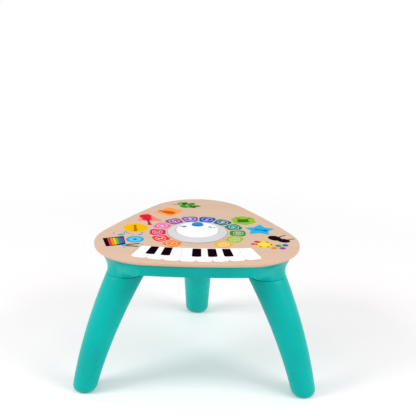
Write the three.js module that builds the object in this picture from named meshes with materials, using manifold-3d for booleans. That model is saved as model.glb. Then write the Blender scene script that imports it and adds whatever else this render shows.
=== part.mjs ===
// A child's musical activity table: a wooden top on a plastic housing with three plug-in legs.
// Millimetres, +Z up, the floor at z = 0, and the player at the side that faces -Y.

import * as THREE from 'three';
import { mergeVertices } from 'three/addons/utils/BufferGeometryUtils.js';
import Module from 'manifold-3d';

const wasm = await Module();
wasm.setup();

// Clearances
const seatGap = 0.3;
const slideGap = 0.35;
const overrun = 2;
const weld = 0.0001;

// The wooden top: a triangle with round corners and bowed sides
const top = {
  height: 319,
  thickness: 6.5,
  cornerReach: 234,
  sideReach: 183.5,
  sideRadius: 1369,
  edgeRadius: 1.6,
};

// The housing under it
const tray = {
  depth: 24.7,
  topInset: 2.5,
  bottomInset: 4.8,
  wallThickness: 2.5,
  floorThickness: 2.5,
};

// A leg follows a bowed line from its foot to the seam under the collar, and its section
// is an oval: a radius towards the table's axis and a half width across
const leg = {
  footReach: 278.2,
  seamReach: 171.5,
  bowDepth: 10.35,
  footRadius: 24.9,
  seamRadius: 37,
  footHalfWidth: 27.9,
  seamHalfWidth: 41.4,
  footEdgeRadius: 9,
  wallThickness: 3,
  chamferWidth: 1.2,
};

// The collar over the seam, and the slanted socket that takes the leg's spigot
const collar = {
  seamDepth: 26.5,
  rimThickness: 3,
  socketRadius: 31.6,
  socketDepth: 41,
  sleeveThickness: 2.2,
  keyWidth: 6,
  keyDepth: 2,
};
const spigot = {
  length: 37,
  wallThickness: 3,
  leadLength: 2,
};
const flareShares = { power: 1.2 };
const collarAngles = {
  noseEndDegrees: 38,
  wallStartDegrees: 68,
  openStartDegrees: 66,
  openEndDegrees: 100,
};

const foot = {
  radius: 13.5,
  thickness: 2.4,
  proudHeight: 0.8,
  chamferWidth: 0.7,
};

// The drum in the middle of the top
const drum = {
  baseRadius: 65,
  lipHeight: 1.4,
  riseHeight: 7,
  rimOuterRadius: 48.3,
  rimInnerRadius: 47.3,
  tubeOuterRadius: 51.4,
  tubeInnerRadius: 48.6,
  holeGap: 0.6,
  ledgeInnerRadius: 43.5,
  ledgeDepth: 7,
  ledgeThickness: 2,
  tubeDepth: 16,
  bossRadius: 4,
  bossReach: 44.8,
};
const cap = {
  crownHeight: 4.3,
  shellThickness: 2,
};
const button = {
  radius: 12.5,
  reach: 21.5,
  pressedHeight: 0.5,
  chamferWidth: 1.1,
  travelDepth: 1.5,
  guideThickness: 1.5,
  guideDepth: 6.5,
  flangeWidth: 1.2,
  flangeThickness: 1.4,
  stemRadius: 3,
};
const dome = {
  radius: 6,
  topRadius: 4,
  height: 6.5,
  skirtHeight: 1,
};

// Boards, lamps and the chip
const board = {
  thickness: 1.6,
  pinRadius: 1.4,
  pinHeight: 1.2,
  postRadius: 3.2,
};
const drumBoard = {
  radius: 38,
  rimDepth: 19.5,
  postReach: 33.5,
};
const lamp = {
  width: 5,
  height: 1.7,
  reach: 20,
  count: 6,
};
const mainBoard = {
  width: 50,
  depth: 42,
  leftReach: 66,
  sideInset: 53.5,
  postHeight: 6,
  screwInset: 4,
};
const chip = { width: 14, height: 2, sideInset: 12 };

// The loudspeaker under the drum
const speaker = {
  radius: 26,
  flangeThickness: 1.2,
  flangeWidth: 3,
  depth: 9,
  backRadius: 17,
  steelThickness: 1,
  holeRadius: 8,
  magnetRadius: 15,
  magnetDepth: 5,
  coneThickness: 0.7,
  coneDepth: 6,
  capRadius: 8,
  capHeight: 2,
  screwReach: 29.4,
  postRadius: 2.6,
};
const grille = { slotWidth: 3, slotSpacing: 6.4, radius: 20, count: 5 };

// The battery bay: three AA cells side by side
const cell = {
  radius: 7.15,
  length: 50.5,
  nubRadius: 2.7,
  nubLength: 1.4,
  edgeRadius: 0.5,
};
const bay = {
  sideInset: 55.5,
  cellSpacing: 15,
  sideGap: 0.8,
  wallThickness: 2,
  roofThickness: 1.8,
  contactGap: 6.4,
  lapWidth: 3,
  flangeThickness: 1.6,
  screwShelfDepth: 13,
};
const contact = {
  width: 9,
  height: 10,
  thickness: 0.5,
  wireThickness: 0.8,
  coilRadius: 4.6,
  coilTipRadius: 3,
  turns: 3,
};
const door = {
  thickness: 2.2,
  sideGap: 0.4,
  hingeGap: 0.7,
  hookWidth: 9,
  hookReach: 2.6,
  hookHeight: 2.6,
  hookThickness: 1.5,
  hookSideReach: 20,
  bossRadius: 5.2,
  bossHeight: 1.3,
  gripWidth: 16,
  gripDepth: 1,
};

// Screws: head radius, head height, shank radius and length under the head
const woodScrew = { headRadius: 3.4, headHeight: 2.2, shankRadius: 1.6, length: 9, pointLength: 2 };
const ringScrew = { headRadius: 3, headHeight: 2, shankRadius: 1.4, length: 12, pointLength: 1 };
const smallScrew = { headRadius: 2.6, headHeight: 1.5, shankRadius: 1.1, length: 5, pointLength: 0.8 };
const speakerScrew = { headRadius: 2.6, headHeight: 1.5, shankRadius: 1.1, length: 2.6, pointLength: 0.6 };
const doorScrew = { headRadius: 3.1, headHeight: 1.4, shankRadius: 1.4, length: 6.4, pointLength: 1 };
const screwGap = 0.3;
const doorScrewGap = 0.5;
const boss = { radius: 5, shelfDepth: 4.2, reachInset: 20, sideReach: 62 };

// The power and volume switch on the underside
const powerSwitch = {
  rightReach: 64,
  sideInset: 53.5,
  travelLength: 8,
  width: 18,
  depth: 8,
  height: 6,
  stemWidth: 3,
  stemHeight: 5.4,
  gripWidth: 7,
  gripDepth: 6.4,
  gripHeight: 1.4,
  ribWidth: 0.6,
  guideThickness: 1.6,
};

// The touch sensor sheet under the wood
const sheet = { inset: 34, thickness: 0.4, holeGap: 6 };

const leadRadius = 0.8;
const cableRadius = 1.2;

// Places that follow from the sizes above
const wood = top.height;
const woodUnder = top.height - top.thickness;
const rimHeight = woodUnder - seatGap;
const floorUnder = rimHeight - tray.depth;
const floorTop = floorUnder + tray.floorThickness;
const seam = floorUnder - collar.seamDepth;
const cornerNames = ['back', 'front_left', 'front_right'];
const backDegrees = 90;
const stepDegrees = 120;
const cornerDegrees = cornerNames.map((_, i) => backDegrees + i * stepDegrees);
const half = 0.5;
const rimTop = wood + drum.riseHeight;
const drumBoardFoot = rimTop - drumBoard.rimDepth;
const mainBoardFoot = floorTop + mainBoard.postHeight;
const mainBoardMiddle = new THREE.Vector2(-mainBoard.leftReach, mainBoard.sideInset - top.sideReach);
const bayY = bay.sideInset - top.sideReach;
const knobMiddle = new THREE.Vector2(powerSwitch.rightReach, powerSwitch.sideInset - top.sideReach);
const switchMiddle = knobMiddle.clone().add(new THREE.Vector2(powerSwitch.travelLength * half, 0));

const colours = {
  teal: 0x35b3a6,
  wood: 0xdcc1a6,
  white: 0xf3f3f6,
  grey: 0xdbdadd,
  blue: 0x2f74c0,
  black: 0x202225,
  steel: 0xb9bcc0,
  green: 0x2c6b45,
  copper: 0xc7a24a,
  rubber: 0x8f9497,
  red: 0xc0392b,
  film: 0xd9c27a,
  lamp: 0xf4f0d8,
};

// Geometry helpers

function solidOf(shape) {
  if (shape instanceof wasm.Manifold) {
    return shape;
  }
  const bare = shape.clone();
  bare.deleteAttribute('normal');
  bare.deleteAttribute('uv');
  const merged = mergeVertices(bare, weld);
  const corner = merged.index.array;
  const faces = [];
  for (let i = 0; i < corner.length; i += 3) {
    const [a, b, c] = [corner[i], corner[i + 1], corner[i + 2]];
    if (a !== b && b !== c && c !== a) {
      faces.push(a, b, c);
    }
  }
  return new wasm.Manifold(new wasm.Mesh({
    numProp: 3,
    vertProperties: merged.attributes.position.array,
    triVerts: new Uint32Array(faces),
  }));
}

function join(...shapes) {
  return shapes.map(solidOf).reduce((whole, next) => whole.add(next));
}

function cut(shape, ...tools) {
  return tools.map(solidOf).reduce((whole, next) => whole.subtract(next), solidOf(shape));
}

function geometryOf(solid) {
  const mesh = solidOf(solid).getMesh();
  const geometry = new THREE.BufferGeometry();
  geometry.setAttribute('position', new THREE.BufferAttribute(mesh.vertProperties, mesh.numProp));
  geometry.setIndex(new THREE.BufferAttribute(mesh.triVerts, 1));
  geometry.computeVertexNormals();
  return geometry;
}

const radians = THREE.MathUtils.degToRad;
const { lerp, clamp, smoothstep } = THREE.MathUtils;

// A box by its middle in plan and its bottom face
function block(width, depth, height, x, y, z) {
  const geometry = new THREE.BoxGeometry(width, depth, height);
  return geometry.translate(x, y, z + height * half);
}

// A round bar standing on z
function rod(radius, height, x, y, z, sides = 16) {
  const geometry = new THREE.CylinderGeometry(radius, radius, height, sides);
  geometry.rotateX(Math.PI / 2);
  return geometry.translate(x, y, z + height * half);
}

// A profile of [radius, height] pairs turned about Z, bottom to top on its outer side
function turned(profile, sides, x = 0, y = 0) {
  const points = profile.map(([radius, height]) => new THREE.Vector2(radius, height));
  const geometry = new THREE.LatheGeometry(points, sides);
  geometry.rotateX(Math.PI / 2);
  return geometry.translate(x, y, 0);
}

function closedProfile(points) {
  return [...points, points[0]];
}

// A closed skin over rings of points: place(index, level) gives ring point or, with index null, its middle
function lofted(levels, sides, place) {
  const steps = levels.length - 1;
  const geometry = new THREE.CylinderGeometry(1, 1, 1, sides, steps, false, Math.PI / 2);
  const position = geometry.attributes.position;
  for (let i = 0; i < position.count; i += 1) {
    const x = position.getX(i);
    const y = -position.getZ(i);
    const level = levels[Math.round((position.getY(i) + half) * steps)];
    const turn = Math.round(Math.atan2(y, x) / (2 * Math.PI) * sides);
    const middle = Math.hypot(x, y) < half;
    const spot = place(middle ? null : (turn + sides) % sides, level);
    position.setXYZ(i, spot.x, spot.y, level.z);
  }
  return geometry;
}

// A regular polygon, as the section of a lead or a wire
function section(radius, sides) {
  const points = Array.from({ length: sides }, (_, i) => {
    const angle = 2 * Math.PI * i / sides;
    return new THREE.Vector2(radius * Math.cos(angle), radius * Math.sin(angle));
  });
  return new THREE.Shape(points);
}

// The same shape at each of the three corners
function atCorners(shape) {
  return cornerDegrees.map((degrees) => geometryOf(shape).rotateZ(radians(degrees)));
}

function aroundAxis(reach, degrees) {
  return new THREE.Vector2(Math.cos(radians(degrees)) * reach, Math.sin(radians(degrees)) * reach);
}

// Outline of the rounded triangle, from its reach at a corner and at the middle of a side
function roundTriangle(inset) {
  const reach = top.cornerReach - inset;
  const side = top.sideReach - inset;
  const sideRadius = top.sideRadius - inset;
  const toSide = sideRadius - side;
  const toCorner = sideRadius - reach;
  const cornerAt = (toCorner ** 2 - toSide ** 2) / (toSide - 2 * toCorner);
  const cornerRadius = reach - cornerAt;
  const spread = Math.asin(cornerAt * Math.sin(radians(60)) / (sideRadius - cornerRadius));
  return { cornerAt, cornerRadius, sideRadius, sideBack: toSide, cornerSpread: radians(60) - spread };
}

function outlineShape(inset) {
  const outline = roundTriangle(inset);
  const shape = new THREE.Shape();
  cornerDegrees.forEach((degrees) => {
    const nose = radians(degrees);
    const middle = aroundAxis(outline.cornerAt, degrees);
    const from = nose - outline.cornerSpread;
    const to = nose + outline.cornerSpread;
    shape.absarc(middle.x, middle.y, outline.cornerRadius, from, to, false);
    const normal = degrees + stepDegrees * half;
    const back = aroundAxis(-outline.sideBack, normal);
    const next = radians(normal) + (radians(normal) - to);
    shape.absarc(back.x, back.y, outline.sideRadius, to, next, false);
  });
  return shape;
}

// The leg's line: reach from the axis, slope and radius at a height

function legSlope(z) {
  const share = Math.min(z / seam, 1);
  return (leg.footReach - leg.seamReach - 4 * leg.bowDepth * (1 - 2 * share)) / seam;
}

function legReach(z) {
  if (z > seam) {
    return leg.seamReach - legSlope(seam) * (z - seam);
  }
  const share = z / seam;
  return lerp(leg.footReach, leg.seamReach, share) + 4 * leg.bowDepth * share * (1 - share);
}

function legRadius(z) {
  return lerp(leg.footRadius, leg.seamRadius, Math.min(z / seam, 1));
}

function legHalfWidth(z) {
  return lerp(leg.footHalfWidth, leg.seamHalfWidth, Math.min(z / seam, 1));
}

// A level section of the leg, drawn in by a wall or a rounding
function legSection(drawn, z, angle) {
  const long = (legRadius(z) - drawn) * Math.hypot(1, legSlope(z));
  const wide = legHalfWidth(z) - drawn;
  return new THREE.Vector2(legReach(z) + long * Math.cos(angle), wide * Math.sin(angle));
}

// A level section of a round bar that leans as the leg does at this height
function leanSection(radius, z, angle) {
  const long = radius * Math.hypot(1, legSlope(z));
  return new THREE.Vector2(legReach(z) + long * Math.cos(angle), radius * Math.sin(angle));
}

function leanBar(radius, from, to, sides) {
  const levels = [{ z: from }, { z: to }];
  return lofted(levels, sides, (index, level) => {
    const size = index === null ? 0 : radius;
    return leanSection(size, level.z, 2 * Math.PI * (index ?? 0) / sides);
  });
}

// The housing's skin: each corner flares from the seam to the outline under the wood.
// A chamfer at the seam, on collar and leg alike, makes the dark groove between them.

function trayOutline(z) {
  const share = clamp((rimHeight - z) / tray.depth, 0, 1);
  return roundTriangle(lerp(tray.topInset, tray.bottomInset, share));
}

// How far the outline lies from a point on a corner's own axis, at an angle off the nose
function reachFrom(start, angle, outline) {
  const back = start - outline.cornerAt;
  const across = back * Math.sin(angle);
  const toCorner = Math.sqrt(outline.cornerRadius ** 2 - across ** 2) - back * Math.cos(angle);
  const turn = Math.atan2(toCorner * Math.sin(angle), back + toCorner * Math.cos(angle));
  if (turn < outline.cornerSpread) {
    return toCorner;
  }
  const dx = start + outline.sideBack * Math.cos(radians(60));
  const dy = outline.sideBack * Math.sin(radians(60));
  const along = dx * Math.cos(angle) + dy * Math.sin(angle);
  return Math.sqrt(along ** 2 - dx ** 2 - dy ** 2 + outline.sideRadius ** 2) - along;
}

function flarePoint(angle, z) {
  const off = Math.abs(angle);
  const start = legReach(z);
  const long = legRadius(z) * Math.hypot(1, legSlope(z));
  const wide = legHalfWidth(z);
  const inner = long * wide / Math.hypot(wide * Math.cos(off), long * Math.sin(off));
  const open = radians(collarAngles.openStartDegrees);
  const outer = reachFrom(start, Math.min(off, open), trayOutline(z));
  const rise = clamp((z - seam) / (rimHeight - seam), 0, 1) ** flareShares.power;
  const drop = clamp((z - seam) / (floorUnder - seam), 0, 1);
  const sweep = Math.sin(drop * Math.PI / 2);
  const { noseEndDegrees, wallStartDegrees } = collarAngles;
  const toWall = smoothstep(off, radians(noseEndDegrees), radians(wallStartDegrees));
  const closed = 1 - smoothstep(off, open, radians(collarAngles.openEndDegrees));
  const size = lerp(inner, outer, lerp(rise, sweep, toWall) * closed);
  return { start, size };
}

const legSides = 20;
const socketSides = 16;
const noseSteps = 12;
const sideSteps = 3;
const collarSides = 19;

function collarPoint(index, level, shrink) {
  const start = legReach(level.z);
  if (index === null) {
    return new THREE.Vector2(start, 0);
  }
  const open = radians(collarAngles.openStartDegrees);
  const back = collarSides - noseSteps;
  let angle = lerp(-open, open, index / noseSteps);
  if (index > noseSteps) {
    angle = lerp(open, 2 * Math.PI - open, (index - noseSteps) / back);
  }
  const signed = angle > Math.PI ? angle - 2 * Math.PI : angle;
  const { size } = flarePoint(signed, level.shape ?? level.z);
  const reach = size - shrink;
  return new THREE.Vector2(start + reach * Math.cos(signed), reach * Math.sin(signed));
}

function trayPoint(index, level, shrink) {
  if (index === null) {
    return new THREE.Vector2(0, 0);
  }
  const perCorner = noseSteps + sideSteps;
  const degrees = cornerDegrees[Math.floor(index / perCorner)];
  const step = index % perCorner;
  const shape = level.shape ?? level.z;
  const start = legReach(shape);
  const open = radians(collarAngles.openStartDegrees);
  const angle = lerp(-open, open, Math.min(step / noseSteps, 1));
  const reach = flarePoint(angle, shape).size;
  const point = new THREE.Vector2(start + reach * Math.cos(angle), reach * Math.sin(angle));
  if (step > noseSteps) {
    const outline = trayOutline(shape);
    const normal = radians(stepDegrees * half);
    const back = new THREE.Vector2(Math.cos(normal), Math.sin(normal)).multiplyScalar(-outline.sideBack);
    const from = point.clone().sub(back).angle();
    const turn = lerp(from, 2 * normal - from, (step - noseSteps) / sideSteps);
    point.set(Math.cos(turn), Math.sin(turn)).multiplyScalar(outline.sideRadius).add(back);
  }
  const length = point.length();
  return point.multiplyScalar((length - shrink) / length).rotateAround(new THREE.Vector2(), radians(degrees));
}

const collarShares = [0, 0.15, 0.35, 0.55, 0.78, 1];
const trayShares = [0, 0.5, 1];

function housingSkin() {
  const sides = 3 * (noseSteps + sideSteps);
  const trayLevels = trayShares.map((share) => ({ z: lerp(floorUnder, rimHeight, share) }));
  const body = lofted(trayLevels, sides, (index, level) => trayPoint(index, level, 0));
  const collarLevels = [
    { z: seam, draw: leg.chamferWidth },
    { z: seam + leg.chamferWidth, draw: 0 },
    ...collarShares.slice(1).map((share) => ({ z: lerp(seam, floorUnder, share), draw: 0 })),
  ];
  const flare = lofted(collarLevels, collarSides, (index, level) => collarPoint(index, level, level.draw));
  return join(body, ...atCorners(flare));
}

// The hollow inside: the skin again, lifted by the floor and drawn in by the wall
function housingHollow() {
  const sides = 3 * (noseSteps + sideSteps);
  const lift = (shape) => ({ z: shape + tray.floorThickness, shape });
  const shapes = trayShares.map((share) => lerp(floorUnder, rimHeight, share));
  const levels = shapes.map(lift);
  const body = lofted(levels, sides, (index, level) => trayPoint(index, level, tray.wallThickness));
  const low = seam + collar.rimThickness - tray.floorThickness;
  const collarLevels = collarShares.map((share) => lift(lerp(low, floorUnder, share)));
  const flare = lofted(collarLevels, collarSides, (index, level) => (
    collarPoint(index, level, tray.wallThickness)
  ));
  return [body, ...atCorners(flare)];
}

function leanKey(width, depth, radius, from, to) {
  const geometry = new THREE.BoxGeometry(depth * 2, width, to - from);
  const position = geometry.attributes.position;
  for (let i = 0; i < position.count; i += 1) {
    const z = position.getZ(i) + lerp(from, to, half);
    const x = position.getX(i) + legReach(z) + radius * Math.hypot(1, legSlope(z));
    position.setXYZ(i, x, position.getY(i), z);
  }
  return geometry;
}

const socketTop = seam + collar.socketDepth;

function socketSleeve() {
  const { socketRadius, sleeveThickness } = collar;
  return leanBar(socketRadius + sleeveThickness, seam, socketTop + sleeveThickness, socketSides);
}

function keySleeve() {
  const { socketRadius, sleeveThickness } = collar;
  const width = collar.keyWidth + 2 * sleeveThickness;
  const depth = collar.keyDepth + sleeveThickness;
  return leanKey(width, depth, socketRadius, seam + collar.rimThickness, socketTop + sleeveThickness);
}

function socketBore() {
  const bore = leanBar(collar.socketRadius, seam - overrun, socketTop, socketSides);
  const width = collar.keyWidth + 2 * slideGap;
  const key = leanKey(width, collar.keyDepth + slideGap, collar.socketRadius, seam - overrun, socketTop);
  return join(bore, key);
}

// Places of the bosses and posts

function woodScrewPlaces() {
  const reach = top.sideReach - boss.reachInset;
  return [270, 30, 150].flatMap((normal) => [-boss.sideReach, boss.sideReach].map((along) => (
    new THREE.Vector2(reach, along).rotateAround(new THREE.Vector2(), radians(normal))
  )));
}

const sides = [30, 150, 270];
const ringPlaces = sides.map((degrees) => aroundAxis(drum.bossReach, degrees));
const postPlaces = sides.map((degrees) => aroundAxis(drumBoard.postReach, degrees));
const speakerPlaces = [0, 180].map((degrees) => aroundAxis(speaker.screwReach, degrees));
const boardPlaces = [-1, 1].map((side) => new THREE.Vector2(
  mainBoardMiddle.x + side * (mainBoard.width * half - mainBoard.screwInset),
  mainBoardMiddle.y - side * (mainBoard.depth * half - mainBoard.screwInset),
));

// The ring's tube ends here, and the posts under it just below
const ringFoot = woodUnder - drum.tubeDepth + top.thickness;
const ringPostTop = ringFoot - seatGap;
const ringHeadSeat = floorTop + ringScrew.headHeight;

const woodHeadSeat = rimHeight - boss.shelfDepth;
const postFoot = floorTop - tray.floorThickness * half;

// A post on the housing's floor
function post(place, radius, topHeight, sides = 8) {
  return rod(radius, topHeight - postFoot, place.x, place.y, postFoot, sides);
}

// A screw's way in from under the floor: a wide hole up to its head's seat, a narrow one above
function screwWay(place, kind, headSeat, end) {
  const low = floorUnder - overrun;
  const head = rod(kind.headRadius + screwGap, headSeat - low, place.x, place.y, low, 8);
  const shank = rod(kind.shankRadius + screwGap, end - floorUnder, place.x, place.y, floorUnder, 8);
  return [head, shank];
}

// A blind hole for a screw's shank, down from the top of a post
function pilot(place, kind, topHeight, depth) {
  return rod(kind.shankRadius + screwGap, depth + overrun, place.x, place.y, topHeight - depth, 8);
}

function housingPosts() {
  const pinTop = drumBoardFoot + board.thickness + board.pinHeight;
  return [
    ...woodScrewPlaces().map((place) => post(place, boss.radius, rimHeight)),
    ...ringPlaces.map((place) => post(place, drum.bossRadius, ringPostTop)),
    ...postPlaces.map((place) => post(place, board.postRadius, drumBoardFoot - seatGap)),
    ...postPlaces.map((place) => post(place, board.pinRadius, pinTop, 6)),
    ...boardPlaces.map((place) => post(place, board.postRadius, mainBoardFoot - seatGap)),
    ...speakerPlaces.map((place) => post(place, speaker.postRadius, floorTop + speaker.flangeThickness)),
  ];
}

function screwWays() {
  const smallDepth = smallScrew.length + smallScrew.pointLength;
  return [
    ...woodScrewPlaces().flatMap((place) => screwWay(place, woodScrew, woodHeadSeat, rimHeight + overrun)),
    ...ringPlaces.flatMap((place) => screwWay(place, ringScrew, ringHeadSeat, ringPostTop + overrun)),
    ...boardPlaces.map((place) => pilot(place, smallScrew, mainBoardFoot, smallDepth)),
    ...speakerPlaces.map((place) => (
      pilot(place, speakerScrew, floorTop + speaker.flangeThickness, speakerScrew.length)
    )),
  ];
}

// The loudspeaker's slots, shorter towards the edge of a circle
function grilleSlots() {
  const middle = (grille.count - 1) * half;
  return Array.from({ length: grille.count }, (_, i) => {
    const y = (i - middle) * grille.slotSpacing;
    const long = Math.sqrt(grille.radius ** 2 - y ** 2) - grille.slotWidth * half;
    const shape = new THREE.Shape();
    shape.absarc(long, y, grille.slotWidth * half, -Math.PI / 2, Math.PI / 2, false);
    shape.absarc(-long, y, grille.slotWidth * half, Math.PI / 2, 3 * Math.PI / 2, false);
    const depth = tray.floorThickness + 2 * overrun;
    const slot = new THREE.ExtrudeGeometry(shape, { depth, bevelEnabled: false, curveSegments: 2 });
    return slot.translate(0, 0, floorUnder - overrun);
  });
}

// The battery bay

const bayLength = cell.length + bay.contactGap + 2 * contact.thickness + 2 * seatGap;
const bayWidth = 2 * bay.cellSpacing + 2 * cell.radius + 2 * bay.sideGap;
const bayRoof = floorTop + seatGap + 2 * cell.radius + bay.sideGap;
const doorTop = floorTop - seatGap;

// The door swings about the middle of its round front edge, where its hooks clear the bay's wall
const doorEdge = door.thickness * half;
const hookSweep = Math.hypot(door.hookThickness - doorEdge, door.hookHeight + seatGap + doorEdge);
const doorAxisY = bayY - bayWidth * half - bay.wallThickness - hookSweep - seatGap;
const doorFront = doorAxisY - doorEdge;
const doorBack = bayY + bayWidth * half + bay.screwShelfDepth;
const doorHalf = bayLength * half + bay.lapWidth;
const doorMiddle = lerp(doorFront, doorBack, half);
const doorScrewY = doorBack - door.bossRadius - seatGap;
const doorBossTop = doorTop + door.bossHeight;

function bayWalls() {
  const width = bayLength + 2 * bay.wallThickness;
  const depth = bayWidth + 2 * bay.wallThickness;
  const height = bayRoof + bay.roofThickness - floorTop;
  const box = block(width, depth, height, 0, bayY, floorTop);
  const bossTop = doorBossTop + seatGap + doorScrew.length;
  const bossFoot = doorBossTop + seatGap;
  const bossPost = rod(door.bossRadius, bossTop - bossFoot, 0, doorScrewY, bossFoot, 16);
  const wallBack = bayY + bayWidth * half + bay.wallThickness * half;
  const web = block(
    door.bossRadius, doorScrewY - wallBack, bossTop - bossFoot,
    0, lerp(doorScrewY, wallBack, half), bossFoot,
  );
  const flangeLong = 2 * (doorHalf + door.sideGap + bay.wallThickness);
  const flangeWide = doorBack - doorFront + 2 * bay.wallThickness;
  const flangeHeight = floorTop + bay.flangeThickness - postFoot;
  const flange = block(flangeLong, flangeWide, flangeHeight, 0, doorMiddle, postFoot);
  return [box, bossPost, web, flange];
}

function bayHollow() {
  const room = block(bayLength, bayWidth, bayRoof - floorTop + overrun, 0, bayY, floorTop - overrun);
  const depth = doorBack - doorFront + door.sideGap + door.hingeGap;
  const middle = doorMiddle + (door.sideGap - door.hingeGap) * half;
  const long = 2 * (doorHalf + door.sideGap);
  const opening = block(long, depth, tray.floorThickness + overrun, 0, middle, floorUnder - overrun);
  const hole = rod(doorScrew.shankRadius + doorScrewGap, doorScrew.length, 0, doorScrewY, floorTop, 12);
  const hookBack = doorEdge + hookSweep + seatGap;
  const hookFront = door.hookReach + overrun;
  const hookCuts = [-1, 1].map((side) => block(
    door.hookWidth + 2 * door.sideGap, hookFront + hookBack, bay.flangeThickness + overrun,
    side * door.hookSideReach, doorFront + (hookBack - hookFront) * half, floorTop,
  ));
  const padHole = rod(
    door.bossRadius + door.sideGap, doorBossTop + seatGap - floorUnder, 0, doorScrewY, floorUnder, 16,
  );
  return [room, opening, hole, padHole, ...hookCuts];
}

function switchCuts() {
  const long = powerSwitch.travelLength + powerSwitch.stemWidth + 2 * door.sideGap;
  const wide = powerSwitch.stemWidth + 2 * door.sideGap;
  const { x, y } = switchMiddle;
  return [block(long, wide, tray.floorThickness + 2 * overrun, x, y, floorUnder - overrun)];
}

function switchGuides() {
  const apart = powerSwitch.depth * half + seatGap + powerSwitch.guideThickness * half;
  return [-1, 1].map((side) => block(
    powerSwitch.width, powerSwitch.guideThickness, powerSwitch.height + floorTop - postFoot,
    switchMiddle.x, switchMiddle.y + side * apart, postFoot,
  ));
}

function housing() {
  const shell = cut(housingSkin(), ...housingHollow());
  const sleeves = atCorners(join(socketSleeve(), keySleeve()));
  const filled = join(shell, ...sleeves, ...housingPosts(), ...bayWalls(), ...switchGuides());
  const sockets = atCorners(socketBore());
  return cut(filled, ...sockets, ...screwWays(), ...grilleSlots(), ...bayHollow(), ...switchCuts());
}

// The wooden top and what lies right under it

function woodenTop() {
  const round = top.edgeRadius;
  const shape = outlineShape(round);
  const slab = new THREE.ExtrudeGeometry(shape, {
    depth: top.thickness - 2 * round,
    bevelThickness: round,
    bevelSize: round,
    bevelSegments: 2,
    curveSegments: 6,
  });
  slab.translate(0, 0, woodUnder + round);
  const holeRadius = drum.tubeOuterRadius + drum.holeGap;
  const hole = rod(holeRadius, top.thickness + 2 * overrun, 0, 0, woodUnder - overrun, 32);
  const pilotTop = woodHeadSeat + woodScrew.length;
  const pilots = woodScrewPlaces().map(({ x, y }) => (
    rod(woodScrew.shankRadius + screwGap, pilotTop - woodUnder + overrun, x, y, woodUnder - overrun, 8)
  ));
  return cut(slab, hole, ...pilots);
}

function sensorSheet() {
  const shape = outlineShape(sheet.inset);
  const hole = new THREE.Path();
  hole.absarc(0, 0, drum.tubeOuterRadius + sheet.holeGap, 0, 2 * Math.PI, true);
  shape.holes.push(hole);
  const slab = new THREE.ExtrudeGeometry(shape, {
    depth: sheet.thickness,
    bevelEnabled: false,
    curveSegments: 4,
  });
  return slab.translate(0, 0, woodUnder - seatGap - sheet.thickness);
}

// The drum

const ledgeTop = rimTop - drum.ledgeDepth;

function drumRing() {
  const base = wood + seatGap;
  const ring = turned(closedProfile([
    [drum.tubeInnerRadius, ringFoot],
    [drum.tubeOuterRadius, ringFoot],
    [drum.tubeOuterRadius, base],
    [drum.baseRadius, base],
    [drum.baseRadius, base + drum.lipHeight],
    [drum.rimOuterRadius, rimTop],
    [drum.rimInnerRadius, rimTop],
    [drum.rimInnerRadius, ledgeTop],
    [drum.ledgeInnerRadius, ledgeTop],
    [drum.ledgeInnerRadius, ledgeTop - drum.ledgeThickness],
    [drum.tubeInnerRadius, ledgeTop - drum.ledgeThickness],
  ]), 32);
  const bosses = ringPlaces.map(({ x, y }) => (
    rod(drum.bossRadius, ledgeTop - drum.ledgeThickness * half - ringFoot, x, y, ringFoot, 8)
  ));
  const depth = ringHeadSeat + ringScrew.length - ringFoot;
  const pilots = ringPlaces.map(({ x, y }) => (
    rod(ringScrew.shankRadius + screwGap, depth + seatGap + overrun, x, y, ringFoot - overrun, 8)
  ));
  return cut(join(ring, ...bosses), ...pilots);
}

function capHeight(radius) {
  return rimTop + cap.crownHeight * (1 - (radius / drum.rimInnerRadius) ** 2);
}

const crownShares = [0, 0.45, 0.78];

const guideFoot = rimTop - button.guideDepth;

function drumCap() {
  const outer = drum.rimInnerRadius - seatGap;
  const inner = outer - cap.shellThickness;
  const foot = ledgeTop + seatGap;
  const below = crownShares.map((share) => [share * inner, capHeight(share * inner) - cap.shellThickness]);
  const above = crownShares.map((share) => [share * outer, capHeight(share * outer)]).reverse();
  const shell = turned([
    ...below,
    [inner, rimTop - cap.shellThickness],
    [inner, foot],
    [outer, foot],
    [outer, rimTop],
    ...above,
  ], 32);
  const guideOuter = button.radius + seatGap + button.guideThickness;
  const guideHeight = capHeight(button.reach) - cap.shellThickness * half - guideFoot;
  const guide = rod(guideOuter, guideHeight, 0, button.reach, guideFoot, 20);
  const holeDepth = button.guideDepth + cap.crownHeight + overrun;
  const hole = rod(button.radius + seatGap, holeDepth, 0, button.reach, guideFoot - overrun * half, 20);
  return cut(join(shell, guide), hole);
}

const flangeTop = guideFoot - seatGap;
const boardTop = drumBoardFoot + board.thickness;
const domeFoot = boardTop + seatGap;
const domeTop = domeFoot + dome.height;

function modeButton() {
  const height = capHeight(button.reach) + button.travelDepth + button.pressedHeight;
  const flangeFoot = flangeTop - button.flangeThickness;
  return turned([
    [0, domeTop + seatGap],
    [button.stemRadius, domeTop + seatGap],
    [button.stemRadius, flangeFoot],
    [button.radius + button.flangeWidth, flangeFoot],
    [button.radius + button.flangeWidth, flangeTop],
    [button.radius, flangeTop],
    [button.radius, height - button.chamferWidth],
    [button.radius - button.chamferWidth, height],
    [0, height + button.chamferWidth * half],
  ], 20, 0, button.reach);
}

function buttonDome() {
  return turned([
    [0, domeFoot],
    [dome.radius, domeFoot],
    [dome.radius, domeFoot + dome.skirtHeight],
    [dome.topRadius, domeTop - dome.skirtHeight],
    [dome.topRadius, domeTop],
    [0, domeTop],
  ], 14, 0, button.reach);
}

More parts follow.
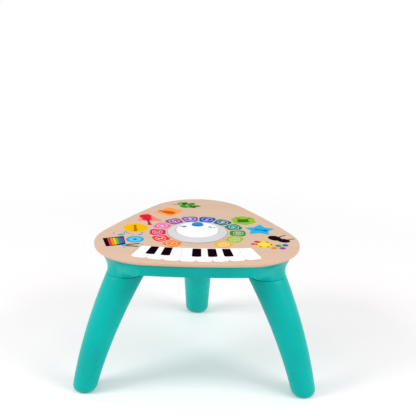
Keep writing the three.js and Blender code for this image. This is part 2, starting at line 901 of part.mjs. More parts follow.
function drumBoardPlate() {
  const disc = rod(drumBoard.radius, board.thickness, 0, 0, drumBoardFoot, 24);
  const holes = postPlaces.map(({ x, y }) => (
    rod(board.pinRadius + screwGap, board.thickness + 2 * overrun, x, y, drumBoardFoot - overrun, 8)
  ));
  return cut(disc, ...holes);
}

function drumLamp(index) {
  const place = aroundAxis(lamp.reach, index * 360 / lamp.count);
  return block(lamp.width, lamp.width, lamp.height, place.x, place.y, boardTop + seatGap);
}

// The main board

function mainBoardPlate() {
  const { width, depth } = mainBoard;
  const plate = block(width, depth, board.thickness, mainBoardMiddle.x, mainBoardMiddle.y, mainBoardFoot);
  const holes = boardPlaces.map(({ x, y }) => (
    rod(smallScrew.shankRadius + screwGap, board.thickness + 2 * overrun, x, y, mainBoardFoot - overrun, 8)
  ));
  return cut(plate, ...holes);
}

function mainChip() {
  const z = mainBoardFoot + board.thickness + seatGap;
  const x = mainBoardMiddle.x + mainBoard.width * half - chip.width * half - chip.sideInset;
  return block(chip.width, chip.width, chip.height, x, mainBoardMiddle.y, z);
}

// The loudspeaker, facing down at its slots

const speakerFoot = floorTop + seatGap;

function speakerFrame() {
  const rimIn = speaker.radius - speaker.flangeWidth;
  const flangeUp = speakerFoot + speaker.flangeThickness;
  const back = speakerFoot + speaker.depth;
  return turned(closedProfile([
    [rimIn, speakerFoot],
    [speaker.radius, speakerFoot],
    [speaker.radius, flangeUp],
    [rimIn + speaker.steelThickness, flangeUp],
    [speaker.backRadius + speaker.steelThickness, back],
    [speaker.holeRadius, back],
    [speaker.holeRadius, back - speaker.steelThickness],
    [speaker.backRadius, back - speaker.steelThickness],
  ]), 22);
}

function speakerCone() {
  const edge = speaker.radius - speaker.flangeWidth - speaker.steelThickness - seatGap;
  const low = speakerFoot + speaker.flangeThickness * half;
  const deep = low + speaker.coneDepth;
  const puff = deep - speaker.capHeight;
  return turned([
    [0, puff],
    [speaker.capRadius, deep - speaker.coneThickness],
    [edge, low],
    [edge, low + speaker.coneThickness],
    [speaker.capRadius, deep],
    [0, puff + speaker.coneThickness],
  ], 20);
}

function speakerMagnet() {
  const foot = speakerFoot + speaker.depth + seatGap;
  return turned([
    [0, foot],
    [speaker.magnetRadius, foot],
    [speaker.magnetRadius, foot + speaker.magnetDepth],
    [0, foot + speaker.magnetDepth],
  ], 20);
}

// The battery bay's contents

const cellHeight = floorTop + seatGap + cell.radius;

function cellY(index) {
  return bayY + (index - 1) * bay.cellSpacing;
}

// Cells lie in turn: the spring presses on the flat end, which faces -X for the first and last
function cellFacing(index) {
  return index % 2 === 0 ? 1 : -1;
}

function batteryCell(index) {
  const body = turned([
    [0, 0],
    [cell.radius - cell.edgeRadius, 0],
    [cell.radius, cell.edgeRadius],
    [cell.radius, cell.length - cell.nubLength - cell.edgeRadius],
    [cell.radius - cell.edgeRadius, cell.length - cell.nubLength],
    [cell.nubRadius, cell.length - cell.nubLength],
    [cell.nubRadius, cell.length],
    [0, cell.length],
  ], 12);
  const facing = cellFacing(index);
  body.rotateY(facing * Math.PI / 2);
  const tip = bayLength * half - contact.thickness - 2 * seatGap;
  return body.translate(facing * (tip - cell.length), cellY(index), cellHeight);
}

class ContactCoil extends THREE.Curve {
  constructor(foot, height) {
    super();
    this.foot = foot;
    this.height = height;
  }

  getPoint(t, target = new THREE.Vector3()) {
    const straight = contact.wireThickness / this.height;
    const share = clamp((t - straight) / (1 - 2 * straight), 0, 1);
    const angle = 2 * Math.PI * contact.turns * share;
    const radius = lerp(contact.coilRadius, contact.coilTipRadius, share);
    return target.set(this.foot + t * this.height, radius * Math.cos(angle), radius * Math.sin(angle));
  }
}

const coilLength = bay.contactGap - seatGap;

function contactCoil() {
  const overlap = contact.thickness * half;
  const curve = new ContactCoil(-overlap, coilLength + overlap);
  const steps = 8 * contact.turns + 2;
  const wire = section(contact.wireThickness * half, 5);
  const coil = new THREE.ExtrudeGeometry(wire, { steps, extrudePath: curve });
  return { coil, curve, steps };
}

// The least distance between stretches of the coil that are half a turn or more apart
function coilGap() {
  const { curve, steps } = contactCoil();
  const points = curve.getPoints(steps * 4);
  const apart = 16;
  let least = Infinity;
  points.forEach((point, i) => {
    points.slice(i + apart).forEach((other) => {
      least = Math.min(least, point.distanceTo(other));
    });
  });
  return least - contact.wireThickness;
}

console.log(`least gap in a contact coil: ${coilGap().toFixed(2)} mm`);

// A plate on one end wall, over one cell or two, with a coil on the flat end's side
function contactPlate(side, cells) {
  const ys = cells.map(cellY);
  const low = Math.min(...ys) - contact.width * half;
  const high = Math.max(...ys) + contact.width * half;
  const x = side * (bayLength * half - seatGap - contact.thickness * half);
  const plateFoot = cellHeight - contact.height * half;
  const plate = block(contact.thickness, high - low, contact.height, x, lerp(low, high, half), plateFoot);
  const sprung = cells.filter((index) => cellFacing(index) === -side);
  const coils = sprung.map((index) => {
    const { coil } = contactCoil();
    if (side > 0) {
      coil.rotateZ(Math.PI);
    }
    return coil.translate(x - side * contact.thickness * half, cellY(index), cellHeight);
  });
  return join(plate, ...coils);
}

// The battery door

function batteryDoor() {
  const under = doorTop - door.thickness;
  const within = doorTop - doorEdge;
  const flat = block(
    2 * doorHalf, doorBack - doorAxisY, door.thickness, 0, lerp(doorAxisY, doorBack, half), under,
  );
  const edge = rod(doorEdge, 2 * doorHalf, 0, 0, -doorHalf).rotateY(Math.PI / 2);
  edge.translate(0, doorAxisY, within);
  const plate = join(flat, edge);
  const hooks = [-1, 1].flatMap((side) => {
    const x = side * door.hookSideReach;
    const riseY = doorFront + door.hookThickness * half;
    const hookTop = floorTop + door.hookHeight;
    const rise = block(door.hookWidth, door.hookThickness, hookTop - within, x, riseY, within);
    const tongueY = doorFront + (door.hookThickness - door.hookReach) * half;
    const tongueFoot = floorTop + seatGap;
    const long = door.hookReach + door.hookThickness;
    const tongue = block(door.hookWidth, long, hookTop - tongueFoot, x, tongueY, tongueFoot);
    return [rise, tongue];
  });
  const pad = rod(door.bossRadius, doorBossTop - within, 0, doorScrewY, within, 14);
  const headDepth = doorScrew.headHeight + 2 * seatGap;
  const head = rod(doorScrew.headRadius + screwGap, headDepth + overrun, 0, doorScrewY, under - overrun, 14);
  const hole = rod(doorScrew.shankRadius + screwGap, doorBossTop - under + overrun, 0, doorScrewY, under, 10);
  const gripY = doorBack - bay.screwShelfDepth - door.gripWidth;
  const grip = rod(door.gripWidth * half, door.gripDepth + overrun, 0, gripY, under - overrun, 18);
  return cut(join(plate, ...hooks, pad), head, hole, grip);
}

// Screws stand head down

function screw(kind, x, y, z, sides = 8) {
  return turned([
    [0, z - kind.headHeight],
    [kind.headRadius, z - kind.headHeight],
    [kind.headRadius, z],
    [kind.shankRadius, z],
    [kind.shankRadius, z + kind.length - kind.pointLength],
    [0, z + kind.length],
  ], sides, x, y);
}

function screwHeadUp(kind, x, y, z) {
  const geometry = screw(kind, 0, 0, 0);
  geometry.rotateX(Math.PI);
  return geometry.translate(x, y, z);
}

// The switch

function switchBody() {
  const { x, y } = switchMiddle;
  const z = floorTop + seatGap;
  const can = block(powerSwitch.width, powerSwitch.depth, powerSwitch.height, x, y, z);
  const long = powerSwitch.travelLength + powerSwitch.stemWidth + 2 * door.sideGap;
  const slot = block(
    long, powerSwitch.stemWidth + 2 * door.sideGap, powerSwitch.stemHeight - tray.floorThickness + overrun,
    x, y, z - overrun,
  );
  return cut(can, slot);
}

function switchKnob() {
  const { x, y } = knobMiddle;
  const { gripWidth, gripDepth, gripHeight, stemWidth, stemHeight, ribWidth } = powerSwitch;
  const under = floorUnder - seatGap;
  const gripFoot = under - gripHeight;
  const grip = block(gripWidth, gripDepth, gripHeight, x, y, gripFoot);
  const stem = block(stemWidth, stemWidth, stemHeight, x, y, under - ribWidth);
  const ribs = [-1, 0, 1].map((step) => (
    block(ribWidth, gripDepth, ribWidth * 2, x + step * gripWidth / 3, y, gripFoot - ribWidth)
  ));
  return join(grip, stem, ...ribs);
}

// Leads and cables along routes set by hand: heights are above the housing's floor,
// and the battery leads' points count from the middle of the bay

const routes = {
  battery_lead_red: [
    [-31.7, 16, 11], [-34, 15.8, 11.3], [-37, 15, 13], [-42, 12, 13], [-47, 10, 10.5],
    [-47.4, 9.8, 8.2],
  ],
  battery_lead_black: [
    [-31.7, -16, 11], [-34, -16, 11.3], [-37, -16, 13], [-42, -15, 13], [-47, -14, 10.5],
    [-47.4, -13.8, 8.2],
  ],
  speaker_lead_red: [
    [-13.6, -15.3, 8.8], [-20, -24, 8], [-30, -50, 9], [-44, -92, 12], [-53, -113, 11],
    [-53.5, -114, 8.2],
  ],
  speaker_lead_black: [
    [-17.2, -11.2, 8.8], [-24, -20, 8], [-36, -50, 9], [-50, -90, 12], [-60, -113, 11],
    [-60.5, -114, 8.2],
  ],
  drum_cable: [
    [-10, -28, 16], [-10, -29, 13.5], [-11, -42, 10.5], [-14, -58, 9.5], [-30, -84, 11],
    [-43, -104, 12], [-44.5, -110.5, 10.5], [-44.8, -111, 8.2],
  ],
  sensor_cable: [
    [-62, -70, 19.9], [-72, -82, 18], [-80, -100, 15], [-80, -113, 11], [-80.3, -114, 8.2],
  ],
};

function lead(name, radius, fromY = 0) {
  const points = routes[name].map(([x, y, rise]) => new THREE.Vector3(x, fromY + y, floorTop + rise));
  const curve = new THREE.CatmullRomCurve3(points);
  const steps = 2 * (points.length - 1);
  return new THREE.ExtrudeGeometry(section(radius, 6), { steps, extrudePath: curve });
}

// The legs

const shoulder = seam - seatGap;
const spigotRadius = collar.socketRadius - slideGap;
const spigotTop = seam + spigot.length;
const soleHeight = foot.proudHeight;
const footShares = [0, 0.12, 0.38, 1];
const legShares = [0.2, 0.4, 0.6, 0.8];

function legLevels() {
  const round = footShares.map((share) => {
    const z = lerp(soleHeight, leg.footEdgeRadius, share);
    const drawn = leg.footEdgeRadius * (1 - Math.sqrt(1 - (1 - share) ** 2));
    return { z, drawn };
  });
  const shaft = legShares.map((share) => ({ z: lerp(leg.footEdgeRadius, shoulder, share), drawn: 0 }));
  return [
    ...round,
    ...shaft,
    { z: shoulder - leg.chamferWidth, drawn: 0 },
    { z: shoulder, drawn: leg.chamferWidth },
  ];
}

// Levels give either the radius of a round section or how far the leg's own is drawn in
function leanLoft(levels, sides) {
  return lofted(levels, sides, (index, { z, radius, drawn }) => {
    if (index === null) {
      return leanSection(0, z, 0);
    }
    const angle = 2 * Math.PI * index / sides;
    return radius === undefined ? legSection(drawn, z, angle) : leanSection(radius, z, angle);
  });
}

const hollowShares = [0, 0.03, 0.35, 0.7, 1];

function legHollow() {
  const low = foot.thickness + leg.wallThickness;
  const neck = seam - 2 * leg.wallThickness;
  const shaft = hollowShares.map((share) => {
    const z = lerp(low, neck, share);
    return { z, drawn: share === 0 ? leg.footEdgeRadius : leg.wallThickness };
  });
  const bore = spigotRadius - spigot.wallThickness;
  return leanLoft([...shaft, { z: shoulder, radius: bore }, { z: spigotTop + overrun, radius: bore }], 12);
}

function legBody() {
  const shaft = leanLoft(legLevels(), legSides);
  const plug = leanLoft([
    { z: shoulder - leg.wallThickness, radius: spigotRadius },
    { z: spigotTop - spigot.leadLength, radius: spigotRadius },
    { z: spigotTop, radius: spigotRadius - spigot.leadLength * half },
  ], socketSides);
  const keyTop = spigotTop - spigot.leadLength;
  const key = leanKey(collar.keyWidth, collar.keyDepth, spigotRadius, shoulder - leg.wallThickness, keyTop);
  const recess = rod(foot.radius + seatGap, foot.thickness + seatGap, legReach(0), 0, 0, 20);
  return cut(join(shaft, plug, key), legHollow(), recess);
}

function footPad() {
  return turned([
    [0, 0],
    [foot.radius - foot.chamferWidth, 0],
    [foot.radius, foot.chamferWidth],
    [foot.radius, foot.thickness],
    [0, foot.thickness],
  ], 20, legReach(0));
}

// The assembly

const table = new THREE.Group();

function addPiece(group, name, shape, colour, roughness = 0.5, metalness = 0) {
  const material = new THREE.MeshStandardMaterial({ color: colour, roughness, metalness });
  const mesh = new THREE.Mesh(geometryOf(shape), material);
  mesh.name = name;
  group.add(mesh);
}

addPiece(table, 'wooden_top', woodenTop(), colours.wood, 0.6);
addPiece(table, 'touch_sensor_sheet', sensorSheet(), colours.film, 0.4);
addPiece(table, 'housing', housing(), colours.teal, 0.45);
addPiece(table, 'drum_ring', drumRing(), colours.grey, 0.4);
addPiece(table, 'drum_cap', drumCap(), colours.white, 0.35);
addPiece(table, 'mode_button', modeButton(), colours.blue, 0.4);
addPiece(table, 'button_dome', buttonDome(), colours.rubber, 0.8);
addPiece(table, 'drum_board', drumBoardPlate(), colours.green, 0.5);
for (let i = 0; i < lamp.count; i += 1) {
  addPiece(table, `drum_lamp_${i + 1}`, drumLamp(i), colours.lamp, 0.3);
}
addPiece(table, 'speaker_frame', speakerFrame(), colours.steel, 0.4, 0.8);
addPiece(table, 'speaker_cone', speakerCone(), colours.black, 0.9);
addPiece(table, 'speaker_magnet', speakerMagnet(), colours.black, 0.5, 0.4);
addPiece(table, 'main_board', mainBoardPlate(), colours.green, 0.5);
addPiece(table, 'main_chip', mainChip(), colours.black, 0.5);
addPiece(table, 'power_switch_body', switchBody(), colours.steel, 0.35, 0.8);
addPiece(table, 'power_switch_knob', switchKnob(), colours.white, 0.5);

for (let i = 0; i < 3; i += 1) {
  addPiece(table, `battery_cell_${i + 1}`, batteryCell(i), colours.copper, 0.35, 0.5);
}
addPiece(table, 'contact_minus', contactPlate(-1, [0]), colours.steel, 0.3, 0.9);
addPiece(table, 'contact_bridge_left', contactPlate(-1, [1, 2]), colours.steel, 0.3, 0.9);
addPiece(table, 'contact_bridge_right', contactPlate(1, [0, 1]), colours.steel, 0.3, 0.9);
addPiece(table, 'contact_plus', contactPlate(1, [2]), colours.steel, 0.3, 0.9);
addPiece(table, 'battery_door', batteryDoor(), colours.teal, 0.5);
const doorScrewSeat = doorTop - door.thickness + doorScrew.headHeight + seatGap;
addPiece(table, 'door_screw', screw(doorScrew, 0, doorScrewY, doorScrewSeat, 12), colours.steel, 0.3, 0.9);

woodScrewPlaces().forEach(({ x, y }, i) => {
  const shape = screw(woodScrew, x, y, woodHeadSeat - seatGap);
  addPiece(table, `top_screw_${i + 1}`, shape, colours.steel, 0.3, 0.9);
});
ringPlaces.forEach(({ x, y }, i) => {
  const shape = screw(ringScrew, x, y, ringHeadSeat - seatGap);
  addPiece(table, `ring_screw_${i + 1}`, shape, colours.steel, 0.3, 0.9);
});
boardPlaces.forEach(({ x, y }, i) => {
  const shape = screwHeadUp(smallScrew, x, y, mainBoardFoot + board.thickness + seatGap);
  addPiece(table, `board_screw_${i + 1}`, shape, colours.steel, 0.3, 0.9);
});
speakerPlaces.forEach(({ x, y }, i) => {
  const shape = screwHeadUp(speakerScrew, x, y, speakerFoot + speaker.flangeThickness + seatGap);
  addPiece(table, `speaker_screw_${i + 1}`, shape, colours.steel, 0.3, 0.9);
});

addPiece(table, 'battery_lead_red', lead('battery_lead_red', leadRadius, bayY), colours.red, 0.5);
addPiece(table, 'battery_lead_black', lead('battery_lead_black', leadRadius, bayY), colours.black, 0.5);
addPiece(table, 'speaker_lead_red', lead('speaker_lead_red', leadRadius), colours.red, 0.5);
addPiece(table, 'speaker_lead_black', lead('speaker_lead_black', leadRadius), colours.black, 0.5);
addPiece(table, 'drum_cable', lead('drum_cable', cableRadius), colours.white, 0.5);
addPiece(table, 'sensor_cable', lead('sensor_cable', cableRadius), colours.film, 0.5);

cornerNames.forEach((name, i) => {
  const corner = new THREE.Group();
  corner.rotation.z = radians(cornerDegrees[i]);
  addPiece(corner, `leg_${name}`, legBody(), colours.teal, 0.45);
  addPiece(corner, `foot_pad_${name}`, footPad(), colours.rubber, 0.9);
  table.add(corner);
});

// The origin lies on the floor under the middle of the whole table
const box = new THREE.Box3().setFromObject(table);
table.position.y = -lerp(box.min.y, box.max.y, half);

export default table;
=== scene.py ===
"""A child's musical activity table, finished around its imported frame."""

import math

import bmesh
import bpy
from mathutils import Matrix, Vector


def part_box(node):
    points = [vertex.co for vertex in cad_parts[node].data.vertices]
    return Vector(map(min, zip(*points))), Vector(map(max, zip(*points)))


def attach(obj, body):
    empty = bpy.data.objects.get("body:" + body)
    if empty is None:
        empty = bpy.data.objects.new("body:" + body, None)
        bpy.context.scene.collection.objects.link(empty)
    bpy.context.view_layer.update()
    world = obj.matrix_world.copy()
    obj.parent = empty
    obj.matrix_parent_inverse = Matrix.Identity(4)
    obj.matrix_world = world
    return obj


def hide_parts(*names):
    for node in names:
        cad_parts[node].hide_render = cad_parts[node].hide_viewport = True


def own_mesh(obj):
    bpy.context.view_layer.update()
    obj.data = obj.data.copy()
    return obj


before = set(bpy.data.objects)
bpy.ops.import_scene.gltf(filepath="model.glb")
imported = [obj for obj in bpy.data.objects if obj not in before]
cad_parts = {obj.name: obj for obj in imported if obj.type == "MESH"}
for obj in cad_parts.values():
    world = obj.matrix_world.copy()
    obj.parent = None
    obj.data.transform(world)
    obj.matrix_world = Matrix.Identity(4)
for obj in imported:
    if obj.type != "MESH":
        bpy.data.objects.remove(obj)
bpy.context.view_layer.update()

# Pieces are modelled in millimetres about the table's own axis, with the floor at z = 0
MM = 0.001


def box_mm(node):
    low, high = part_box(node)
    return low / MM, high / MM


axis_low, axis_high = box_mm("drum_ring")
AXIS_Y = (axis_low.y + axis_high.y) / 2
TO_FRAME = Matrix.Scale(MM, 4) @ Matrix.Translation((0, AXIS_Y, 0))

# Heights of the frame
WOOD = box_mm("wooden_top")[1].z
WOOD_UNDER = box_mm("wooden_top")[0].z
RIM = box_mm("housing")[1].z
SEAM = box_mm("housing")[0].z
DRUM_LOW = axis_low.z
DRUM_TOP = axis_high.z

# The frame's own sizes, repeated
CORNER_REACH = 234
SIDE_REACH = 183.5
SIDE_RADIUS = 1369
WOOD_EDGE = 1.6
TRAY_DEPTH = 24.7
TRAY_TOP_INSET = 2.5
TRAY_BOTTOM_INSET = 4.8
FLOOR_THICKNESS = 2.5
LEG_FOOT_REACH = 278.2
LEG_SEAM_REACH = 171.5
LEG_BOW = 10.35
LEG_FOOT_RADIUS = 24.9
LEG_SEAM_RADIUS = 37
LEG_FOOT_HALF_WIDTH = 27.9
LEG_SEAM_HALF_WIDTH = 41.4
LEG_FOOT_EDGE = 9
LEG_FOOT_RISE = 14
LEG_WALL = 3
SEAM_CHAMFER = 1.2
SOCKET_RADIUS = 31.6
SOCKET_DEPTH = 41
SPIGOT_RADIUS = 31.25
SPIGOT_LENGTH = 37
SPIGOT_LEAD = 2
KEY_WIDTH = 6
KEY_DEPTH = 2
SEAT_GAP = 0.3
SLIDE_GAP = 0.35
FLARE_POWER = 1.2
NOSE_END = math.radians(24)
WALL_START = math.radians(84)
OPEN_START = math.radians(66)
OPEN_END = math.radians(100)
PAD_RADIUS = 13.5
PAD_THICKNESS = 2.4
PAD_PROUD = 0.8

FLOOR_UNDER = RIM - TRAY_DEPTH
FLOOR_TOP = FLOOR_UNDER + FLOOR_THICKNESS
CORNERS = {"back": 90, "front_left": 210, "front_right": 330}
SIDES = (30, 150, 270)


# Modelling helpers

def lerp(a, b, share):
    return a + (b - a) * share


def clamp(value, low=0.0, high=1.0):
    return max(low, min(high, value))


def smoothstep(value, low, high):
    share = clamp((value - low) / (high - low))
    return share * share * (3 - 2 * share)


def shares(count):
    return [i / count for i in range(count + 1)]


def turned_to(degrees):
    return Matrix.Rotation(math.radians(degrees), 4, "Z")


def polar(reach, degrees, z=0.0):
    return Vector((reach * math.cos(math.radians(degrees)), reach * math.sin(math.radians(degrees)), z))


def tube(levels, sides, place):
    """A closed skin over rings: place(index, level) gives a ring's points, and each end gets a face."""
    bm = bmesh.new()
    bmesh.ops.create_circle(bm, segments=sides, radius=1)
    edges = bm.edges[:]
    for _ in levels[1:]:
        made = bmesh.ops.extrude_edge_only(bm, edges=edges)["geom"]
        verts = [item for item in made if isinstance(item, bmesh.types.BMVert)]
        edges = [item for item in made if isinstance(item, bmesh.types.BMEdge)]
        bmesh.ops.translate(bm, verts=verts, vec=(0, 0, 1))
    for vert in bm.verts:
        index = round(math.atan2(vert.co.y, vert.co.x) / math.tau * sides) % sides
        vert.co = place(index, levels[round(vert.co.z)])
    bmesh.ops.holes_fill(bm, edges=[edge for edge in bm.edges if edge.is_boundary])
    return bm


def spun(profile, steps=96):
    """A profile of (radius, height) pairs turned about the Z axis."""
    bm = bmesh.new()
    verts = [bm.verts.new((radius, 0, height)) for radius, height in profile]
    edges = [bm.edges.new(pair) for pair in zip(verts, verts[1:])]
    bmesh.ops.spin(
        bm, geom=verts + edges, cent=(0, 0, 0), axis=(0, 0, 1), angle=math.tau, steps=steps,
        use_merge=True,
    )
    bmesh.ops.remove_doubles(bm, verts=bm.verts, dist=0.001)
    bmesh.ops.recalc_face_normals(bm, faces=bm.faces)
    return bm


def closed(profile):
    return [*profile, profile[0]]


def block(width, depth, low, high, x=0.0, y=0.0):
    bm = bmesh.new()
    bmesh.ops.create_cube(bm, size=1)
    bmesh.ops.scale(bm, vec=(width, depth, high - low), verts=bm.verts)
    bmesh.ops.translate(bm, vec=(x, y, (low + high) / 2), verts=bm.verts)
    return bm


def rod(radius, low, high, x=0.0, y=0.0, segments=48):
    bm = bmesh.new()
    bmesh.ops.create_cone(
        bm, cap_ends=True, segments=segments, radius1=radius, radius2=radius, depth=high - low,
    )
    bmesh.ops.translate(bm, vec=(x, y, (low + high) / 2), verts=bm.verts)
    return bm


def soften(bm, offset, segments=3, degrees=30, chosen=lambda edge: True):
    """Rounds every edge that turns by more than the given angle."""
    limit = math.radians(degrees)
    edges = [e for e in bm.edges if e.is_manifold and e.calc_face_angle() > limit and chosen(e)]
    bmesh.ops.bevel(
        bm, geom=edges, offset=offset, offset_type="OFFSET", segments=segments, profile=0.5,
        affect="EDGES", clamp_overlap=True, material=-1,
    )
    return bm


def moved(bm, matrix):
    bmesh.ops.transform(bm, matrix=matrix, verts=bm.verts)
    return bm


def joined(*meshes):
    """Several bmeshes as one, without merging their walls."""
    whole = bmesh.new()
    for bm in meshes:
        part = bpy.data.meshes.new("part")
        bm.to_mesh(part)
        bm.free()
        whole.from_mesh(part)
        bpy.data.meshes.remove(part)
    return whole


def carve(bm, operation, *tools, overlapping=False):
    """The exact Boolean of a bmesh with one or more others."""
    scene = bpy.context.scene.collection
    objects = []
    for name, shape in (("carved", bm), ("carving", joined(*tools))):
        mesh = bpy.data.meshes.new(name)
        shape.to_mesh(mesh)
        shape.free()
        objects.append(bpy.data.objects.new(name, mesh))
        scene.objects.link(objects[-1])
    modifier = objects[0].modifiers.new("carve", "BOOLEAN")
    modifier.operation = operation
    modifier.object = objects[1]
    modifier.solver = "EXACT"
    modifier.use_self = overlapping
    graph = bpy.context.evaluated_depsgraph_get()
    result = bmesh.new()
    result.from_mesh(bpy.data.meshes.new_from_object(objects[0].evaluated_get(graph)))
    for item in objects:
        bpy.data.objects.remove(item)
    return result


def piece(name, bm, body, finish, slot, replaces=(), sharp=32):
    """A finished piece in the frame: smooth where it turns gently, sharp where it doesn't."""
    bmesh.ops.transform(bm, matrix=TO_FRAME, verts=bm.verts)
    limit = math.radians(sharp)
    for face in bm.faces:
        face.smooth = True
    for edge in bm.edges:
        edge.smooth = edge.is_manifold and edge.calc_face_angle() < limit
    mesh = bpy.data.meshes.new(name)
    bm.to_mesh(mesh)
    bm.free()
    return dressed(bpy.data.objects.new(name, mesh), body, finish, slot, replaces)


def dressed(item, body, finish, slot, replaces=()):
    bpy.context.scene.collection.objects.link(item)
    item.data.materials.clear()
    item.data.materials.append(finish)
    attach(item, body)
    if replaces:
        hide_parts(*replaces)
    return item


# Finishes

def linear(red, green, blue):
    """An sRGB colour of 0 to 255 as Blender's linear colour."""
    def channel(value):
        value /= 255
        return value / 12.92 if value <= 0.04045 else ((value + 0.055) / 1.055) ** 2.4
    return (channel(red), channel(green), channel(blue), 1)


def shaded(colour, share):
    return tuple(clamp(value * share, 0, 255) for value in colour)


class Finish:
    """A procedural material on Object coordinates, built up node by node."""

    def __init__(self, name, **sockets):
        self.material = bpy.data.materials.new(name)
        self.material.use_nodes = True
        self.tree = self.material.node_tree
        self.shader = self.tree.nodes["Principled BSDF"]
        for socket, value in sockets.items():
            self.shader.inputs[socket.replace("_", " ")].default_value = value
        self.place = self.tree.nodes.new("ShaderNodeTexCoord").outputs["Object"]

    def node(self, kind, links=(), **values):
        made = self.tree.nodes.new(kind)
        for name, value in values.items():
            if name in made.inputs:
                made.inputs[name].default_value = value
            elif name.replace("_", " ") in made.inputs:
                made.inputs[name.replace("_", " ")].default_value = value
            else:
                setattr(made, name, value)
        for socket, source in dict(links).items():
            self.tree.links.new(source, made.inputs[socket])
        return made

    def noise(self, scale, stretch=(1, 1, 1), detail=4.0, distortion=0.0):
        mapping = self.node("ShaderNodeMapping", {"Vector": self.place}, Scale=stretch)
        return self.node(
            "ShaderNodeTexNoise", {"Vector": mapping.outputs["Vector"]},
            Scale=scale, Detail=detail, Distortion=distortion,
        ).outputs["Fac"]

    def spread(self, source, low, high, from_low=0.3, from_high=0.7):
        made = self.node("ShaderNodeMapRange", {"Value": source})
        made.inputs["From Min"].default_value = from_low
        made.inputs["From Max"].default_value = from_high
        made.inputs["To Min"].default_value = low
        made.inputs["To Max"].default_value = high
        return made.outputs["Result"]

    def mix(self, factor, first, second):
        made = self.node("ShaderNodeMix", data_type="RGBA")
        self.tree.links.new(factor, made.inputs["Factor"])
        for socket, value in ((made.inputs[6], first), (made.inputs[7], second)):
            if isinstance(value, tuple):
                socket.default_value = value
            else:
                self.tree.links.new(value, socket)
        return made.outputs[2]

    def bump(self, height, distance, strength=1.0, under=None):
        made = self.node("ShaderNodeBump", {"Height": height}, Distance=distance, Strength=strength)
        if under is not None:
            self.tree.links.new(under, made.inputs["Normal"])
        return made.outputs["Normal"]

    def set(self, **links):
        for socket, source in links.items():
            self.tree.links.new(source, self.shader.inputs[socket.replace("_", " ")])
        return self.material


def moulded(name, colour, rough=0.4, grain=1400, depth=0.00002, contrast=0.04, **sockets):
    """Injection-moulded plastic: faint flow marks in the colour and a fine spark-eroded texture."""
    made = Finish(name, **sockets)
    flow = made.noise(9, detail=3)
    fine = made.noise(grain, detail=2)
    tone = made.spread(flow, 0, 1)
    base = made.mix(tone, linear(*shaded(colour, 1 - contrast)), linear(*shaded(colour, 1 + contrast)))
    sheen = made.spread(made.noise(60, detail=5), rough - 0.05, rough + 0.06)
    return made.set(Base_Color=base, Roughness=sheen, Normal=made.bump(fine, depth))


def metal(name, colour, rough=0.3, stretch=(1, 1, 1)):
    """Plated or drawn metal with fine marks."""
    made = Finish(name, Metallic=1.0)
    marks = made.noise(900, stretch, detail=3)
    base = made.mix(
        made.spread(made.noise(70), 0, 1), linear(*shaded(colour, 0.9)), linear(*shaded(colour, 1.05)),
    )
    sheen = made.spread(marks, rough - 0.08, rough + 0.12)
    return made.set(Base_Color=base, Roughness=sheen, Normal=made.bump(marks, 0.000015))


WOOD_COLOUR = (217, 184, 159)
WOOD_EDGE_COLOUR = (228, 178, 152)


def wood_grain(made):
    """Colour tone and relief of pale veneer whose grain runs along X."""
    bands = made.noise(7, (1, 9, 1), detail=5, distortion=0.6)
    fibres = made.noise(60, (1, 26, 1), detail=4)
    pores = made.noise(240, (1, 12, 1), detail=2)
    return bands, fibres, pores


def veneer(name):
    made = Finish(name, Specular_IOR_Level=0.2)
    bands, fibres, pores = wood_grain(made)
    base = made.mix(
        made.spread(bands, 0, 1), linear(*shaded(WOOD_COLOUR, 0.975)), linear(*shaded(WOOD_COLOUR, 1.01)),
    )
    darker = linear(*shaded(WOOD_COLOUR, 0.9))
    base = made.mix(made.spread(fibres, 0, 0.4, 0.52, 0.78), base, darker)
    base = made.mix(made.spread(pores, 0, 0.35, 0.62, 0.8), base, darker)
    height = made.node("ShaderNodeSeparateXYZ", {"Vector": made.place}).outputs["Z"]
    base = made.mix(made.spread(height, 0.6, 0, 0.315, 0.318), base, linear(*WOOD_EDGE_COLOUR))
    relief = made.bump(fibres, 0.00006, 0.6)
    relief = made.bump(pores, 0.00003, 0.6, relief)
    return made.set(Base_Color=base, Roughness=made.spread(bands, 0.5, 0.62), Normal=relief)


def ink(name, colour, rough=0.55):
    """Printed ink over the same grain, which shows faintly through it."""
    made = Finish(name, Specular_IOR_Level=0.0)
    bands, fibres, pores = wood_grain(made)
    base = made.mix(made.spread(fibres, 0, 1), linear(*colour), linear(*shaded(colour, 0.96)))
    relief = made.bump(fibres, 0.00003, 0.5)
    return made.set(Base_Color=base, Roughness=made.spread(pores, rough, rough + 0.1), Normal=relief)


def traced_board(name, mask, trace):
    """Solder mask over fine copper tracks."""
    made = Finish(name, Coat_Weight=0.3)
    mapping = made.node("ShaderNodeMapping", {"Vector": made.place}, Rotation=(0, 0, 0.785))
    tracks = made.node(
        "ShaderNodeTexBrick", {"Vector": mapping.outputs["Vector"]}, Scale=180, Mortar_Size=0.012,
        Brick_Width=0.9, Row_Height=0.22,
    )
    blotch = made.spread(made.noise(40), 0, 1)
    base = made.mix(blotch, linear(*shaded(mask, 0.92)), linear(*shaded(mask, 1.06)))
    base = made.mix(tracks.outputs["Fac"], base, linear(*trace))
    sheen = made.spread(made.noise(300), 0.28, 0.4)
    return made.set(Base_Color=base, Roughness=sheen, Normal=made.bump(tracks.outputs["Fac"], 0.00003))


